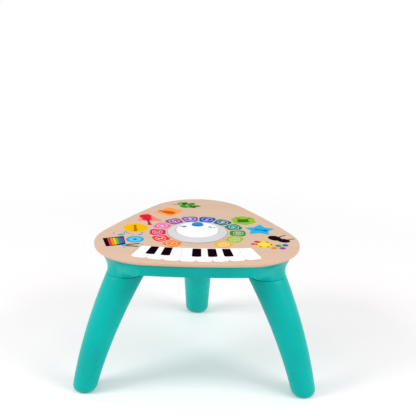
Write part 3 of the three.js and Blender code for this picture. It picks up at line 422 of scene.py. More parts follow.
def cell_film(facing):
    """A battery's printed sleeve: light grey with a blue band at the raised end."""
    made = Finish(f"cell sleeve film {'right' if facing > 0 else 'left'}", Coat_Weight=0.4)
    axes = made.node("ShaderNodeSeparateXYZ", {"Vector": made.place})
    band = made.spread(axes.outputs["X"], 0, 1, 0.0095 * facing, 0.0097 * facing)
    scuffs = made.noise(220, (1, 6, 6))
    grey = made.mix(made.spread(scuffs, 0, 1), linear(188, 192, 198), linear(204, 208, 212))
    blue = made.mix(made.spread(scuffs, 0, 1), linear(52, 92, 150), linear(62, 104, 162))
    return made.set(
        Base_Color=made.mix(band, grey, blue), Roughness=made.spread(scuffs, 0.22, 0.36),
        Normal=made.bump(scuffs, 0.00001),
    )


def rubbery(name, colour, rough=0.75, grain=900, depth=0.00004):
    """Matt rubber with a fine open texture and a little dust in it."""
    made = Finish(name, Specular_IOR_Level=0.35)
    dust = made.spread(made.noise(120, detail=6), 0, 1, 0.45, 0.75)
    base = made.mix(dust, linear(*colour), linear(*shaded(colour, 1.18)))
    fine = made.noise(grain, detail=3)
    return made.set(Base_Color=base, Roughness=made.spread(fine, rough - 0.07, rough + 0.1),
                    Normal=made.bump(fine, depth))


def film(name, colour, trace):
    """Clear amber film with printed sensor lines."""
    made = Finish(name, Coat_Weight=0.5)
    lines = made.node(
        "ShaderNodeTexWave", {"Vector": made.place}, Scale=55, wave_type="RINGS", rings_direction="Z",
        Distortion=0.4,
    )
    drawn = made.spread(lines.outputs["Fac"], 0, 1, 0.86, 0.92)
    base = made.mix(drawn, linear(*colour), linear(*trace))
    fine = made.noise(300)
    return made.set(Base_Color=base, Roughness=made.spread(fine, 0.2, 0.34), Normal=made.bump(drawn, 0.00002))


def pressed_paper(name):
    """Black pressed paper pulp."""
    made = Finish(name, Specular_IOR_Level=0.2)
    fibres = made.noise(700, (1, 1, 3), detail=6, distortion=1.5)
    base = made.mix(made.spread(fibres, 0, 1), linear(24, 23, 23), linear(48, 46, 44))
    return made.set(Base_Color=base, Roughness=made.spread(fibres, 0.78, 0.95), Normal=made.bump(fibres, 0.0001))


def lens(name):
    """Milky lamp lenses that let light through."""
    made = Finish(name, Transmission_Weight=0.35, IOR=1.49)
    cloud = made.noise(350)
    base = made.mix(made.spread(cloud, 0, 1), linear(244, 240, 224), linear(250, 247, 236))
    return made.set(Base_Color=base, Roughness=made.spread(cloud, 0.15, 0.3), Normal=made.bump(cloud, 0.00001))


TEAL = (0, 174, 166)
teal_housing = moulded("teal moulded housing", TEAL, rough=0.3, Specular_IOR_Level=0.11)
teal_legs = moulded("teal moulded leg", TEAL, rough=0.3, Specular_IOR_Level=0.11)
teal_door = moulded("teal moulded door", TEAL, rough=0.46, grain=1100, depth=0.00004, Specular_IOR_Level=0.2)
ring_grey = moulded("pale grey ring plastic", (206, 205, 210), rough=0.33, Subsurface_Weight=0.0)
cap_white = moulded("white cap plastic", (245, 245, 248), rough=0.28, grain=700, depth=0.00001)
button_blue = moulded("blue button plastic", (6, 122, 194), rough=0.3, Specular_IOR_Level=0.05)
knob_white = moulded("white knob plastic", (233, 234, 232), rough=0.42)
black_plastic = moulded("black plastic", (30, 31, 34), rough=0.45)
steel = metal("nickel plated steel", (196, 198, 202), rough=0.28)
spring_steel = metal("tinned spring steel", (202, 203, 206), rough=0.24, stretch=(1, 6, 1))
pale_wood = veneer("pale veneer")
rubber = rubbery("grey pad rubber", (92, 96, 99))
dome_rubber = rubbery("dome silicone", (150, 154, 158), rough=0.6)
circuit_board = traced_board("green circuit board", (28, 98, 62), (60, 140, 84))
chip_black = moulded("chip epoxy", (32, 32, 34), rough=0.55, grain=2200)
speaker_paper = pressed_paper("loudspeaker paper")
magnet = moulded("ferrite", (52, 53, 56), rough=0.6, grain=900, depth=0.00006)
lamp_lens = lens("milky lamp lens")
sensor_film = film("amber sensor film", (214, 190, 118), (120, 100, 60))
film_cable = film("amber ribbon", (214, 190, 118), (150, 120, 70))
lead_red = moulded("red lead sheath", (196, 44, 38), rough=0.4, grain=1200)
lead_black = moulded("black lead sheath", (28, 28, 31), rough=0.4, grain=1200)
cable_white = moulded("white cable sheath", (226, 227, 226), rough=0.45, grain=1200)


# The housing and the legs: the same forms as the frame's, in finer steps

def rounded_triangle(inset):
    reach = CORNER_REACH - inset
    side = SIDE_REACH - inset
    side_radius = SIDE_RADIUS - inset
    to_side = side_radius - side
    to_corner = side_radius - reach
    corner_at = (to_corner ** 2 - to_side ** 2) / (to_side - 2 * to_corner)
    corner_radius = reach - corner_at
    sixth = math.radians(60)
    spread = sixth - math.asin(corner_at * math.sin(sixth) / (side_radius - corner_radius))
    return corner_at, corner_radius, side_radius, to_side, spread


def leg_slope(z):
    share = min(z / SEAM, 1)
    return (LEG_FOOT_REACH - LEG_SEAM_REACH - 4 * LEG_BOW * (1 - 2 * share)) / SEAM


def leg_reach(z):
    if z > SEAM:
        return LEG_SEAM_REACH - leg_slope(SEAM) * (z - SEAM)
    share = z / SEAM
    return lerp(LEG_FOOT_REACH, LEG_SEAM_REACH, share) + 4 * LEG_BOW * share * (1 - share)


def leg_radius(z):
    return lerp(LEG_FOOT_RADIUS, LEG_SEAM_RADIUS, min(z / SEAM, 1))


def leg_half_width(z):
    return lerp(LEG_FOOT_HALF_WIDTH, LEG_SEAM_HALF_WIDTH, min(z / SEAM, 1))


def leg_point(drawn, z, angle):
    """A point of the leg's oval section, drawn in by a wall or a rounding."""
    long = (leg_radius(z) - drawn) * math.hypot(1, leg_slope(z))
    return Vector((leg_reach(z) + long * math.cos(angle), (leg_half_width(z) - drawn) * math.sin(angle), z))


def lean_point(radius, z, angle):
    long = radius * math.hypot(1, leg_slope(z))
    return Vector((leg_reach(z) + long * math.cos(angle), radius * math.sin(angle), z))


def lean_bar(radius, low, high, sides=64):
    return tube([low, high], sides, lambda i, z: lean_point(radius, z, math.tau * i / sides))


def lean_key(width, depth, radius, low, high):
    bm = block(depth * 2, width, low, high)
    for vert in bm.verts:
        z = vert.co.z
        vert.co.x += leg_reach(z) + radius * math.hypot(1, leg_slope(z))
    return bm


def tray_outline(z):
    return rounded_triangle(lerp(TRAY_TOP_INSET, TRAY_BOTTOM_INSET, clamp((RIM - z) / TRAY_DEPTH)))


def reach_from(start, angle, outline):
    """How far the outline lies from a point on a corner's own axis, at an angle off the nose."""
    corner_at, corner_radius, side_radius, side_back, spread = outline
    back = start - corner_at
    to_corner = math.sqrt(corner_radius ** 2 - (back * math.sin(angle)) ** 2) - back * math.cos(angle)
    if math.atan2(to_corner * math.sin(angle), back + to_corner * math.cos(angle)) < spread:
        return to_corner
    dx = start + side_back * math.cos(math.radians(60))
    dy = side_back * math.sin(math.radians(60))
    along = dx * math.cos(angle) + dy * math.sin(angle)
    return math.sqrt(along ** 2 - dx ** 2 - dy ** 2 + side_radius ** 2) - along


def flare(angle, z):
    """The collar's reach from the leg's line: the leg's own round below, the tray's outline above."""
    off = abs(angle)
    start = leg_reach(z)
    long = leg_radius(z) * math.hypot(1, leg_slope(z))
    wide = leg_half_width(z)
    inner = long * wide / math.hypot(wide * math.cos(off), long * math.sin(off))
    outer = reach_from(start, min(off, OPEN_START), tray_outline(z))
    rise = clamp((z - SEAM) / (RIM - SEAM)) ** FLARE_POWER
    drop = clamp((z - SEAM) / (FLOOR_UNDER - SEAM))
    sweep = math.sin(drop * math.pi / 2)
    to_wall = smoothstep(off, NOSE_END, WALL_START)
    shut = 1 - smoothstep(off, OPEN_START, OPEN_END)
    return lerp(inner, outer, lerp(rise, sweep, to_wall) * shut)


NOSE_STEPS = 56
SIDE_STEPS = 28
BACK_STEPS = 44


def collar_point(index, z, shape, shrink):
    if index <= NOSE_STEPS:
        angle = lerp(-OPEN_START, OPEN_START, index / NOSE_STEPS)
    else:
        angle = lerp(OPEN_START, math.tau - OPEN_START, (index - NOSE_STEPS) / BACK_STEPS)
        angle -= math.tau if angle > math.pi else 0
    reach = flare(angle, shape) - shrink
    return Vector((leg_reach(z) + reach * math.cos(angle), reach * math.sin(angle), z))


def tray_point(index, z, shape, shrink):
    per_corner = NOSE_STEPS + SIDE_STEPS
    corner, step = divmod(index, per_corner)
    start = leg_reach(shape)
    angle = lerp(-OPEN_START, OPEN_START, min(step / NOSE_STEPS, 1))
    reach = flare(angle, shape)
    point = Vector((start + reach * math.cos(angle), reach * math.sin(angle)))
    if step > NOSE_STEPS:
        side_radius, side_back = tray_outline(shape)[2:4]
        normal = math.radians(60)
        back = Vector((math.cos(normal), math.sin(normal))) * -side_back
        first = math.atan2(point.y - back.y, point.x - back.x)
        turn = lerp(first, 2 * normal - first, (step - NOSE_STEPS) / SIDE_STEPS)
        point = back + Vector((math.cos(turn), math.sin(turn))) * side_radius
    point *= (point.length - shrink) / point.length
    return turned_to(90 + 120 * corner) @ Vector((point.x, point.y, z))


def skin_levels(low, high, lift, chamfer):
    """Levels of one collar, with a rounded edge at the seam, and of the tray."""
    collars = [(lerp(low, FLOOR_UNDER, share), 0.0) for share in shares(12)]
    if chamfer:
        round_edge = [(low + chamfer * (1 - math.cos(a)), chamfer * (1 - math.sin(a)))
                      for a in (0, math.pi / 6, math.pi / 3)]
        collars = [*round_edge, *[pair for pair in collars if pair[0] > low + chamfer * 0.8]]
    trays = [lerp(FLOOR_UNDER, RIM, share) for share in shares(6)]
    return [(z + lift, z, draw) for z, draw in collars], [(z + lift, z) for z in trays[:-1]] + [(high, RIM)]


def housing_solid(shrink=0.0, low=SEAM, high=RIM, lift=0.0, chamfer=0.0):
    """The housing's outer form, filled; drawn in by `shrink` and lifted by `lift`."""
    collars, trays = skin_levels(low, high, lift, chamfer)
    sides = 3 * (NOSE_STEPS + SIDE_STEPS)
    walls = [tube(trays, sides, lambda i, level: tray_point(i, level[0], level[1], shrink))]
    for degrees in CORNERS.values():
        wall = tube(
            collars, NOSE_STEPS + BACK_STEPS,
            lambda i, level: collar_point(i, level[0], level[1], shrink + level[2]),
        )
        walls.append(moved(wall, turned_to(degrees)))
    whole = joined(*walls)
    top = max(level[0] for level in collars)
    inside = [f for f in whole.faces if len(f.verts) > 4 and abs(f.calc_center_median().z - top) < 0.01]
    bmesh.ops.delete(whole, geom=inside, context="FACES_ONLY")
    bmesh.ops.remove_doubles(whole, verts=whole.verts, dist=0.01)
    open_edges = [edge for edge in whole.edges if edge.is_boundary]
    bmesh.ops.contextual_create(whole, geom=open_edges)
    bmesh.ops.recalc_face_normals(whole, faces=whole.faces)
    return whole


def copy_of_node(node):
    """A CAD node's mesh in the table's millimetres, with its loose corners merged."""
    bm = bmesh.new()
    bm.from_mesh(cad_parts[node].data)
    moved(bm, TO_FRAME.inverted())
    bmesh.ops.remove_doubles(bm, verts=bm.verts, dist=0.0005)
    return bm


def round_slots():
    """Five slots with round ends for the loudspeaker, shorter towards a circle's edge."""
    width, apart, radius = 3, 6.4, 20
    slots = []
    for step in (-2, -1, 0, 1, 2):
        y = step * apart
        half = math.sqrt(radius ** 2 - y ** 2)
        slot = block(2 * half, width, FLOOR_UNDER - 4, FLOOR_TOP + 1, 0, y)
        upright = [e for e in slot.edges if abs(e.verts[0].co.z - e.verts[1].co.z) > 1]
        bmesh.ops.bevel(
            slot, geom=upright, offset=width * 0.499, segments=8, profile=0.5, affect="EDGES",
            offset_type="OFFSET", clamp_overlap=True, material=-1,
        )
        slots.append(slot)
    return slots


# Places under the tray

def screw_place(node):
    low, high = box_mm(node)
    return (low.x + high.x) / 2, (low.y + high.y) / 2 - AXIS_Y, low.z, high.z


WOOD_SCREWS = [f"top_screw_{number}" for number in range(1, 7)]
RING_SCREWS = [f"ring_screw_{number}" for number in range(1, 4)]
door_low, door_high = box_mm("battery_door")
DOOR_FRONT = door_low.y - AXIS_Y
DOOR_BACK = door_high.y - AXIS_Y
DOOR_HALF = door_high.x
DOOR_UNDER = door_low.z
DOOR_THICKNESS = 2.2
DOOR_GAP = 0.4
HINGE_GAP = 0.7
SKIN = 1.6
SWITCH_SLOT = (62.1, 73.9)
SWITCH_SLOT_WIDTH = 3.8
knob_low, knob_high = box_mm("power_switch_knob")
KNOB_X = (knob_low.x + knob_high.x) / 2
KNOB_Y = (knob_low.y + knob_high.y) / 2 - AXIS_Y


def sockets():
    """The three slanted sockets with their keyways."""
    cutters = []
    for degrees in CORNERS.values():
        bore = lean_bar(SOCKET_RADIUS, SEAM - 1, SEAM + SOCKET_DEPTH)
        key = lean_key(
            KEY_WIDTH + 2 * SLIDE_GAP, KEY_DEPTH + SLIDE_GAP, SOCKET_RADIUS, SEAM - 1, SEAM + SOCKET_DEPTH,
        )
        cutters += [moved(bore, turned_to(degrees)), moved(key, turned_to(degrees))]
    return cutters


def underside_holes():
    """Everything that opens through the tray's floor."""
    low = FLOOR_UNDER - 1
    holes = round_slots()
    for names, gap in ((WOOD_SCREWS, 0.3), (RING_SCREWS, 0.3)):
        for name in names:
            x, y, foot, _ = screw_place(name)
            head = box_mm(name)[1].x - x + gap
            holes.append(rod(head, low, foot + 1, x, y, 40))
    opening_low = DOOR_FRONT - HINGE_GAP
    opening_high = DOOR_BACK + DOOR_GAP
    opening = block(
        2 * (DOOR_HALF + DOOR_GAP), opening_high - opening_low, low, FLOOR_UNDER + SKIN + 0.1,
        0, (opening_low + opening_high) / 2,
    )
    slot_low, slot_high = SWITCH_SLOT
    slot = block(
        slot_high - slot_low, SWITCH_SLOT_WIDTH, low, FLOOR_UNDER + SKIN + 0.1, (slot_low + slot_high) / 2, KNOB_Y,
    )
    return [*holes, opening, slot]


def housing():
    """A fine skin around the frame's own inside, with the sockets and holes cut through both."""
    outer = housing_solid(chamfer=SEAM_CHAMFER)
    soften(outer, 1.1, 3, 35, lambda e: e.is_convex and max(v.co.z for v in e.verts) > FLOOR_UNDER - 0.5)
    shell = carve(outer, "DIFFERENCE", housing_solid(SKIN, high=RIM + 5, lift=SKIN))
    # Without the overlapping setting the frame's own inside is lost
    limit = housing_solid(1.0, high=RIM + 5, lift=1.0)
    inner = carve(copy_of_node("housing"), "INTERSECT", limit, overlapping=True)
    whole = carve(shell, "UNION", inner, overlapping=True)
    whole = carve(whole, "DIFFERENCE", *sockets(), overlapping=True)
    return carve(whole, "DIFFERENCE", *underside_holes())


piece("housing_shell", housing(), "table", teal_housing, "housing_plastic", ["housing"])


# Legs

def foot_point(radius, z, angle):
    return Vector((leg_reach(0) + radius * math.cos(angle), radius * math.sin(angle), z))


def leg():
    shoulder = SEAM - SEAT_GAP
    neck = SEAM - 2 * LEG_WALL
    low = PAD_THICKNESS + LEG_WALL
    bore = SPIGOT_RADIUS - LEG_WALL
    spigot_top = SEAM + SPIGOT_LENGTH
    quarter = [share * math.pi / 2 for share in shares(8)]
    inside = [(leg_point, LEG_FOOT_EDGE, low)]
    inside += [(leg_point, LEG_WALL, lerp(low, neck, share)) for share in shares(8)[1:]]
    plug = [
        (lean_point, bore, shoulder),
        (lean_point, bore, spigot_top),
        (lean_point, SPIGOT_RADIUS - SPIGOT_LEAD / 2, spigot_top),
        (lean_point, SPIGOT_RADIUS, spigot_top - SPIGOT_LEAD),
        (lean_point, SPIGOT_RADIUS, shoulder),
    ]
    edge = [
        (leg_point, SEAM_CHAMFER * (1 - math.sin(a)), shoulder - SEAM_CHAMFER * (1 - math.cos(a)))
        for a in quarter[::2]
    ]
    shaft = [(leg_point, 0, lerp(edge[-1][2], LEG_FOOT_RISE, share)) for share in shares(24)[1:]]
    sole = [
        (leg_point, LEG_FOOT_EDGE * (1 - math.cos(a)), lerp(LEG_FOOT_RISE, PAD_PROUD, math.sin(a)))
        for a in quarter[1:]
    ]
    recess = PAD_RADIUS + SEAT_GAP
    foot = [(foot_point, recess, PAD_PROUD), (foot_point, recess, PAD_THICKNESS + SEAT_GAP)]
    levels = [*inside, *plug, *edge, *shaft, *sole, *foot]
    sides = 80

    def place(index, level):
        form, size, z = level
        return form(size, z, math.tau * index / sides)

    body = tube(levels, sides, place)
    bmesh.ops.recalc_face_normals(body, faces=body.faces)
    key = lean_key(KEY_WIDTH, KEY_DEPTH, SPIGOT_RADIUS, shoulder - LEG_WALL, spigot_top - SPIGOT_LEAD)
    soften(key, 0.6, 2)
    return carve(body, "UNION", key)


leg_mesh = bpy.data.meshes.new("leg form")
leg_form = leg()
leg_form.to_mesh(leg_mesh)
leg_form.free()
for corner, degrees in CORNERS.items():
    form = bmesh.new()
    form.from_mesh(leg_mesh)
    moved(form, turned_to(degrees))
    piece(f"leg_{corner}_fine", form, f"{corner}_leg", teal_legs, "leg_plastic", [f"leg_{corner}"])


# The wooden top

def outline_point(index, per_corner, per_side, inset):
    corner_at, corner_radius, side_radius, side_back, spread = rounded_triangle(inset)
    corner, step = divmod(index, per_corner + per_side)
    if step <= per_corner:
        angle = lerp(-spread, spread, step / per_corner)
        point = Vector((corner_at + corner_radius * math.cos(angle), corner_radius * math.sin(angle)))
    else:
        normal = math.radians(60)
        turn = lerp(spread, 2 * normal - spread, (step - per_corner) / per_side)
        back = Vector((math.cos(normal), math.sin(normal))) * -side_back
        point = back + Vector((math.cos(turn), math.sin(turn))) * side_radius
    return turned_to(90 + 120 * corner) @ Vector((point.x, point.y, 0))


def wooden_top():
    per_corner, per_side = 40, 32
    count = 3 * (per_corner + per_side)
    hole = 52
    edge = [(math.sin(a), 1 - math.cos(a)) for a in (share * math.pi / 2 for share in shares(6))]
    upper = [(WOOD - WOOD_EDGE * rise, WOOD_EDGE * (1 - run)) for run, rise in edge]
    lower = [(WOOD_UNDER + WOOD_EDGE * rise, WOOD_EDGE * (1 - run)) for run, rise in reversed(edge)]
    levels = [(WOOD_UNDER, None), (WOOD, None), *upper, *lower]

    def place(index, level):
        z, inset = level
        if inset is None:
            angle = math.radians(90) + math.tau * index / count
            return Vector((hole * math.cos(angle), hole * math.sin(angle), z))
        point = outline_point(index, per_corner, per_side, inset)
        point.z = z
        return point

    bm = tube(levels, count, place)
    caps = [face for face in bm.faces if len(face.verts) > 4]
    bmesh.ops.delete(bm, geom=caps, context="FACES_ONLY")
    bmesh.ops.bridge_loops(bm, edges=[edge for edge in bm.edges if edge.is_boundary])
    bmesh.ops.recalc_face_normals(bm, faces=bm.faces)
    return bm


piece("wooden_top_fine", wooden_top(), "table", pale_wood, "top_wood", ["wooden_top"])


# The drum: ring, cap and button

RING_BASE = 65
RING_LIP = 1.4
RIM_OUTER = 48.3
RIM_INNER = 47.3
RING_TUBE = (48.6, 51.4)
RING_LEDGE = 43.5
LEDGE_TOP = WOOD
LEDGE_THICKNESS = 2
RING_BOSS = 4
RING_PILOT = 1.7
CAP_OUTER = 47.0
CAP_SHELL = 2
CAP_CROWN = 4.3
BUTTON_REACH = 21.5
BUTTON_RADIUS = 12.5
BUTTON_EDGE = 1.1
GUIDE_FOOT = DRUM_TOP - 6.5
button_low, button_high = box_mm("mode_button")


def rounded(centre, radius, first, last, steps=6):
    """Points of an arc in a profile, from one angle to another in degrees."""
    x, z = centre
    turns = [math.radians(lerp(first, last, share)) for share in shares(steps)]
    return [(x + radius * math.cos(turn), z + radius * math.sin(turn)) for turn in turns]


def crown(radius):
    return DRUM_TOP + CAP_CROWN * (1 - (radius / RIM_INNER) ** 2)


def drum_ring():
    """A broad ring that rises in a slight curve from its lip to the cap's edge."""
    base = WOOD + SEAT_GAP
    inner, outer = RING_TUBE
    lip = base + RING_LIP
    slope = [
        (lerp(RING_BASE - 1.2, RIM_OUTER + 0.9, s), lerp(lip, DRUM_TOP - 0.25, s) + 0.7 * math.sin(math.pi * s))
        for s in shares(14)
    ]
    profile = [
        (inner, DRUM_LOW), (outer, DRUM_LOW), (outer, base), (RING_BASE - 0.3, base),
        *rounded((RING_BASE - 0.7, lip - 0.4), 0.7, -20, 70), *slope,
        *rounded((RIM_OUTER - 0.1, DRUM_TOP - 0.5), 0.5, 60, 180),
        (RIM_INNER, LEDGE_TOP), (RING_LEDGE, LEDGE_TOP), (RING_LEDGE, LEDGE_TOP - LEDGE_THICKNESS),
        (inner, LEDGE_TOP - LEDGE_THICKNESS),
    ]
    ring = spun(closed(profile), 128)
    places = [screw_place(name)[:2] for name in RING_SCREWS]
    bosses = [rod(RING_BOSS, DRUM_LOW, LEDGE_TOP - LEDGE_THICKNESS / 2, x, y, 32) for x, y in places]
    pilots = [rod(RING_PILOT, DRUM_LOW - 1, DRUM_LOW + 2, x, y, 24) for x, y in places]
    return carve(carve(ring, "UNION", *bosses), "DIFFERENCE", *pilots)


def drum_cap():
    inner = CAP_OUTER - CAP_SHELL
    foot = LEDGE_TOP + SEAT_GAP
    edge = 1.6
    below = [(inner * s, crown(inner * s) - CAP_SHELL) for s in shares(18)]
    above = [(r, crown(r)) for r in (lerp(CAP_OUTER - edge, 0, s) for s in shares(28))]
    rim = rounded((CAP_OUTER - edge, crown(CAP_OUTER - edge) - edge), edge, 0, 90, 8)
    shell = spun([*below, (inner, foot), (CAP_OUTER, foot), *rim, *above[1:]], 128)
    hole = BUTTON_RADIUS + SEAT_GAP
    guide_height = crown(BUTTON_REACH) - CAP_SHELL / 2
    guide = rod(hole + 1.5, GUIDE_FOOT, guide_height, 0, BUTTON_REACH, 64)
    cap = carve(shell, "UNION", guide)
    cap = carve(cap, "DIFFERENCE", rod(hole, GUIDE_FOOT - 1, DRUM_TOP + CAP_CROWN + 1, 0, BUTTON_REACH, 64))

    def hole_edge(edge):
        reaches = [math.hypot(v.co.x, v.co.y - BUTTON_REACH) for v in edge.verts]
        return min(v.co.z for v in edge.verts) > DRUM_TOP and max(abs(r - hole) for r in reaches) < 0.05
    return soften(cap, 0.5, 3, 40, hole_edge)


def mode_button():
    top = button_high.z - BUTTON_EDGE / 2
    flange = GUIDE_FOOT - SEAT_GAP
    profile = [
        (0, button_low.z), (2.6, button_low.z), (3, button_low.z + 0.4), (3, flange - 1.4),
        (BUTTON_RADIUS + 1.2, flange - 1.4), (BUTTON_RADIUS + 1.2, flange), (BUTTON_RADIUS, flange),
        *rounded((BUTTON_RADIUS - BUTTON_EDGE, top - BUTTON_EDGE), BUTTON_EDGE, 0, 80, 7),
    ]
    last_radius, last_height = profile[-1]
    rise = button_high.z - last_height
    profile += [(last_radius * (1 - s), last_height + rise * math.sin(s * math.pi / 2)) for s in shares(8)[1:]]
    return moved(spun(profile, 72), Matrix.Translation((0, BUTTON_REACH, 0)))


piece("drum_ring_fine", drum_ring(), "table", ring_grey, "drum_ring_plastic", ["drum_ring"])
piece("drum_cap_fine", drum_cap(), "table", cap_white, "drum_cap_plastic", ["drum_cap"])
piece("mode_button_fine", mode_button(), "button", button_blue, "button_plastic", ["mode_button"])


def button_dome(foot, top, radius):
    profile = [
        (0, foot), (radius - 0.4, foot), *rounded((radius - 0.4, foot + 0.4), 0.4, -60, 70, 5),
        *[(lerp(radius - 0.7, 4, math.sin(s * math.pi / 2)), lerp(foot + 1, top - 1, s)) for s in shares(8)],
        *rounded((3.4, top - 0.6), 0.6, 0, 80, 4), (2.9, top), (2.6, top - 0.3), (0, top - 0.3),
    ]
    return moved(spun(profile, 48), Matrix.Translation((0, BUTTON_REACH, 0)))


dome_low, dome_high = box_mm("button_dome")
dome = piece(
    "button_dome_fine", button_dome(dome_low.z, dome_high.z, (dome_high.x - dome_low.x) / 2),
    "table", dome_rubber, "dome_rubber", ["button_dome"],
)
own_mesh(dome)


# What shows on the underside

# Head height and shank radius of each kind of screw
SCREW_SIZES = {"top": (2.2, 1.6), "ring": (2, 1.4), "door": (1.4, 1.4)}


def cross_screw(name, steps=36):
    """A pan-head screw that stands on its head, with a cross recess and a thread."""
    x, y, foot, top = screw_place(name)
    head = box_mm(name)[1].x - x
    height, shank = SCREW_SIZES[name.split("_")[0]]
    edge = height * 0.55
    thread = [(shank - (0.35 if index % 2 else 0), lerp(foot + height, top - 1.2, index / 14)) for index in range(15)]
    profile = [
        (0, foot), (head - edge, foot), *rounded((head - edge, foot + edge), edge, -80, 0, 5),
        (head, foot + height), *thread, (0, top),
    ]
    body = spun(profile, steps)
    arms = []
    for turn in (0, 90):
        arm = block(head * 1.25, head * 0.3, foot - 1, foot + height * 0.6)
        soften(arm, head * 0.1, 2, 30, lambda e: min(v.co.z for v in e.verts) > foot)
        arms.append(moved(arm, turned_to(turn + 20)))
    return moved(carve(body, "DIFFERENCE", *arms, overlapping=True), Matrix.Translation((x, y, 0)))


for name in (*WOOD_SCREWS, *RING_SCREWS):
    piece(f"{name}_fine", cross_screw(name), "table", steel, "plated_steel", [name])
piece("door_screw_fine", cross_screw("door_screw"), "captive_screw", steel, "plated_steel", ["door_screw"])


def battery_door():
    """A flat door with a rounded front edge to turn on, two hooks, a finger grip and a screw boss."""
    axis_back = DOOR_THICKNESS / 2
    upper = DOOR_UNDER + DOOR_THICKNESS
    middle = upper - axis_back
    turning = DOOR_FRONT + axis_back
    plate = block(2 * DOOR_HALF, DOOR_BACK - turning, DOOR_UNDER, upper, 0, (turning + DOOR_BACK) / 2)
    soften(plate, 0.5, 3, 30, lambda e: max(v.co.y for v in e.verts) > turning + 1)
    edge = rod(axis_back, -DOOR_HALF, DOOR_HALF, segments=32)
    moved(edge, Matrix.Translation((0, turning, middle)) @ Matrix.Rotation(math.radians(90), 4, "Y"))
    whole = carve(plate, "UNION", edge)
    extras = []
    for side in (-1, 1):
        rise = block(9, 1.5, middle, door_high.z, side * 20, DOOR_FRONT + 0.75)
        tongue = block(9, 4.1, FLOOR_TOP + SEAT_GAP, door_high.z, side * 20, DOOR_FRONT - 0.55)
        extras.append(soften(carve(rise, "UNION", tongue), 0.25, 2, 60))
    whole = carve(whole, "UNION", *extras)
    screw_x, screw_y, screw_foot, _ = screw_place("door_screw")
    boss = rod(5.2, middle, FLOOR_TOP + 1.3, screw_x, screw_y, 48)
    whole = carve(whole, "UNION", boss)
    head = rod(3.4, DOOR_UNDER - 1, screw_foot + 1.7, screw_x, screw_y, 48)
    shank = rod(1.7, DOOR_UNDER, FLOOR_TOP + 2, screw_x, screw_y, 32)
    whole = carve(whole, "DIFFERENCE", head)
    whole = carve(whole, "DIFFERENCE", shank)
    grip = rod(8, DOOR_UNDER - 1, DOOR_UNDER + 1, 0, GRIP_Y, 64)
    whole = carve(whole, "DIFFERENCE", grip)
    ribs = []
    for step in (-1, 0, 1):
        y = step * 4
        half = math.sqrt(7.2 ** 2 - y ** 2)
        rib = block(2 * half, 1.1, DOOR_UNDER + 0.25, DOOR_UNDER + 1.2, 0, GRIP_Y + y)
        ribs.append(soften(rib, 0.3, 2, 30, lambda e: max(v.co.z for v in e.verts) < DOOR_UNDER + 0.6))
    return carve(whole, "UNION", *ribs)


GRIP_Y = DOOR_BACK - 29
piece("battery_door_fine", battery_door(), "door", teal_door, "door_plastic", ["battery_door"])


def switch_knob():
    width, depth = knob_high.x - knob_low.x, knob_high.y - knob_low.y
    under = FLOOR_UNDER - SEAT_GAP
    grip_foot = knob_low.z + 0.6
    grip = soften(block(width, depth, grip_foot, under, KNOB_X, KNOB_Y), 0.35, 3)
    stem = block(3, 3, under - 0.6, knob_high.z, KNOB_X, KNOB_Y)
    ribs = [
        soften(block(0.7, depth - 0.8, knob_low.z, grip_foot + 0.6, KNOB_X + step * width / 3, KNOB_Y), 0.2, 2)
        for step in (-1, 0, 1)
    ]
    return carve(grip, "UNION", stem, *ribs)


piece("switch_knob_fine", switch_knob(), "switch_knob", knob_white, "switch_plastic", ["power_switch_knob"])


def foot_pad(degrees):
    """A rubber disc with a rounded edge and grip rings under it."""
    grooves = []
    for ring in (3.5, 6.5, 9.5):
        grooves += [(ring - 0.5, 0), (ring - 0.3, 0.5), (ring + 0.3, 0.5), (ring + 0.5, 0)]
    profile = [
        (0, 0), *grooves, (PAD_RADIUS - 0.7, 0),
        *rounded((PAD_RADIUS - 0.7, 0.7), 0.7, -75, 0, 5), (PAD_RADIUS, PAD_THICKNESS), (0, PAD_THICKNESS),
    ]
    pad = moved(spun(profile, 72), Matrix.Translation((leg_reach(0), 0, 0)))
    return moved(pad, turned_to(degrees))


for corner, degrees in CORNERS.items():
    piece(f"foot_pad_{corner}_fine", foot_pad(degrees), f"{corner}_leg", rubber, "pad_rubber", [f"foot_pad_{corner}"])


# Prints on the wood: thin layers of ink, each layer a little higher than the one below

INK_FOOT = WOOD - 0.05
INK_STEP = 0.06


def flat(corners, round_to=0.0, segments=6):
    """One flat face over the corners, which are rounded; a list gives each corner its own radius."""
    bm = bmesh.new()
    verts = [bm.verts.new((x, y, 0)) for x, y in corners]
    bm.faces.new(verts)
    radii = round_to if isinstance(round_to, list) else [round_to] * len(verts)
    for vert, radius in zip(verts, radii):
        if radius:
            bmesh.ops.bevel(
                bm, geom=[vert], offset=radius, offset_type="OFFSET", segments=segments, profile=0.5,
                affect="VERTICES", clamp_overlap=True, material=-1,
            )
    return bm


def disc(radius, x=0.0, y=0.0, steps=40, tall=1.0, turn=0.0):
    bm = bmesh.new()
    bmesh.ops.create_circle(bm, cap_ends=True, segments=steps, radius=radius)
    matrix = Matrix.Translation((x, y, 0)) @ turned_to(turn) @ Matrix.Diagonal((1, tall, 1, 1))
    return moved(bm, matrix)


def bar(length, width, x=0.0, y=0.0, turn=0.0, round_to=None):
    """A rounded strip about its middle."""
    half_long, half_wide = length / 2, width / 2
    corners = [(-half_long, -half_wide), (half_long, -half_wide), (half_long, half_wide), (-half_long, half_wide)]
    strip = flat(corners, half_wide * 0.98 if round_to is None else round_to)
    return moved(strip, Matrix.Translation((x, y, 0)) @ turned_to(turn))


def sliced(bm, step):
    """Points along the long edges, so that a print can be bent."""
    for edge in bm.edges[:]:
        cuts = int(edge.calc_length() / step)
        if cuts:
            bmesh.ops.subdivide_edges(bm, edges=[edge], cuts=cuts)
    return bm


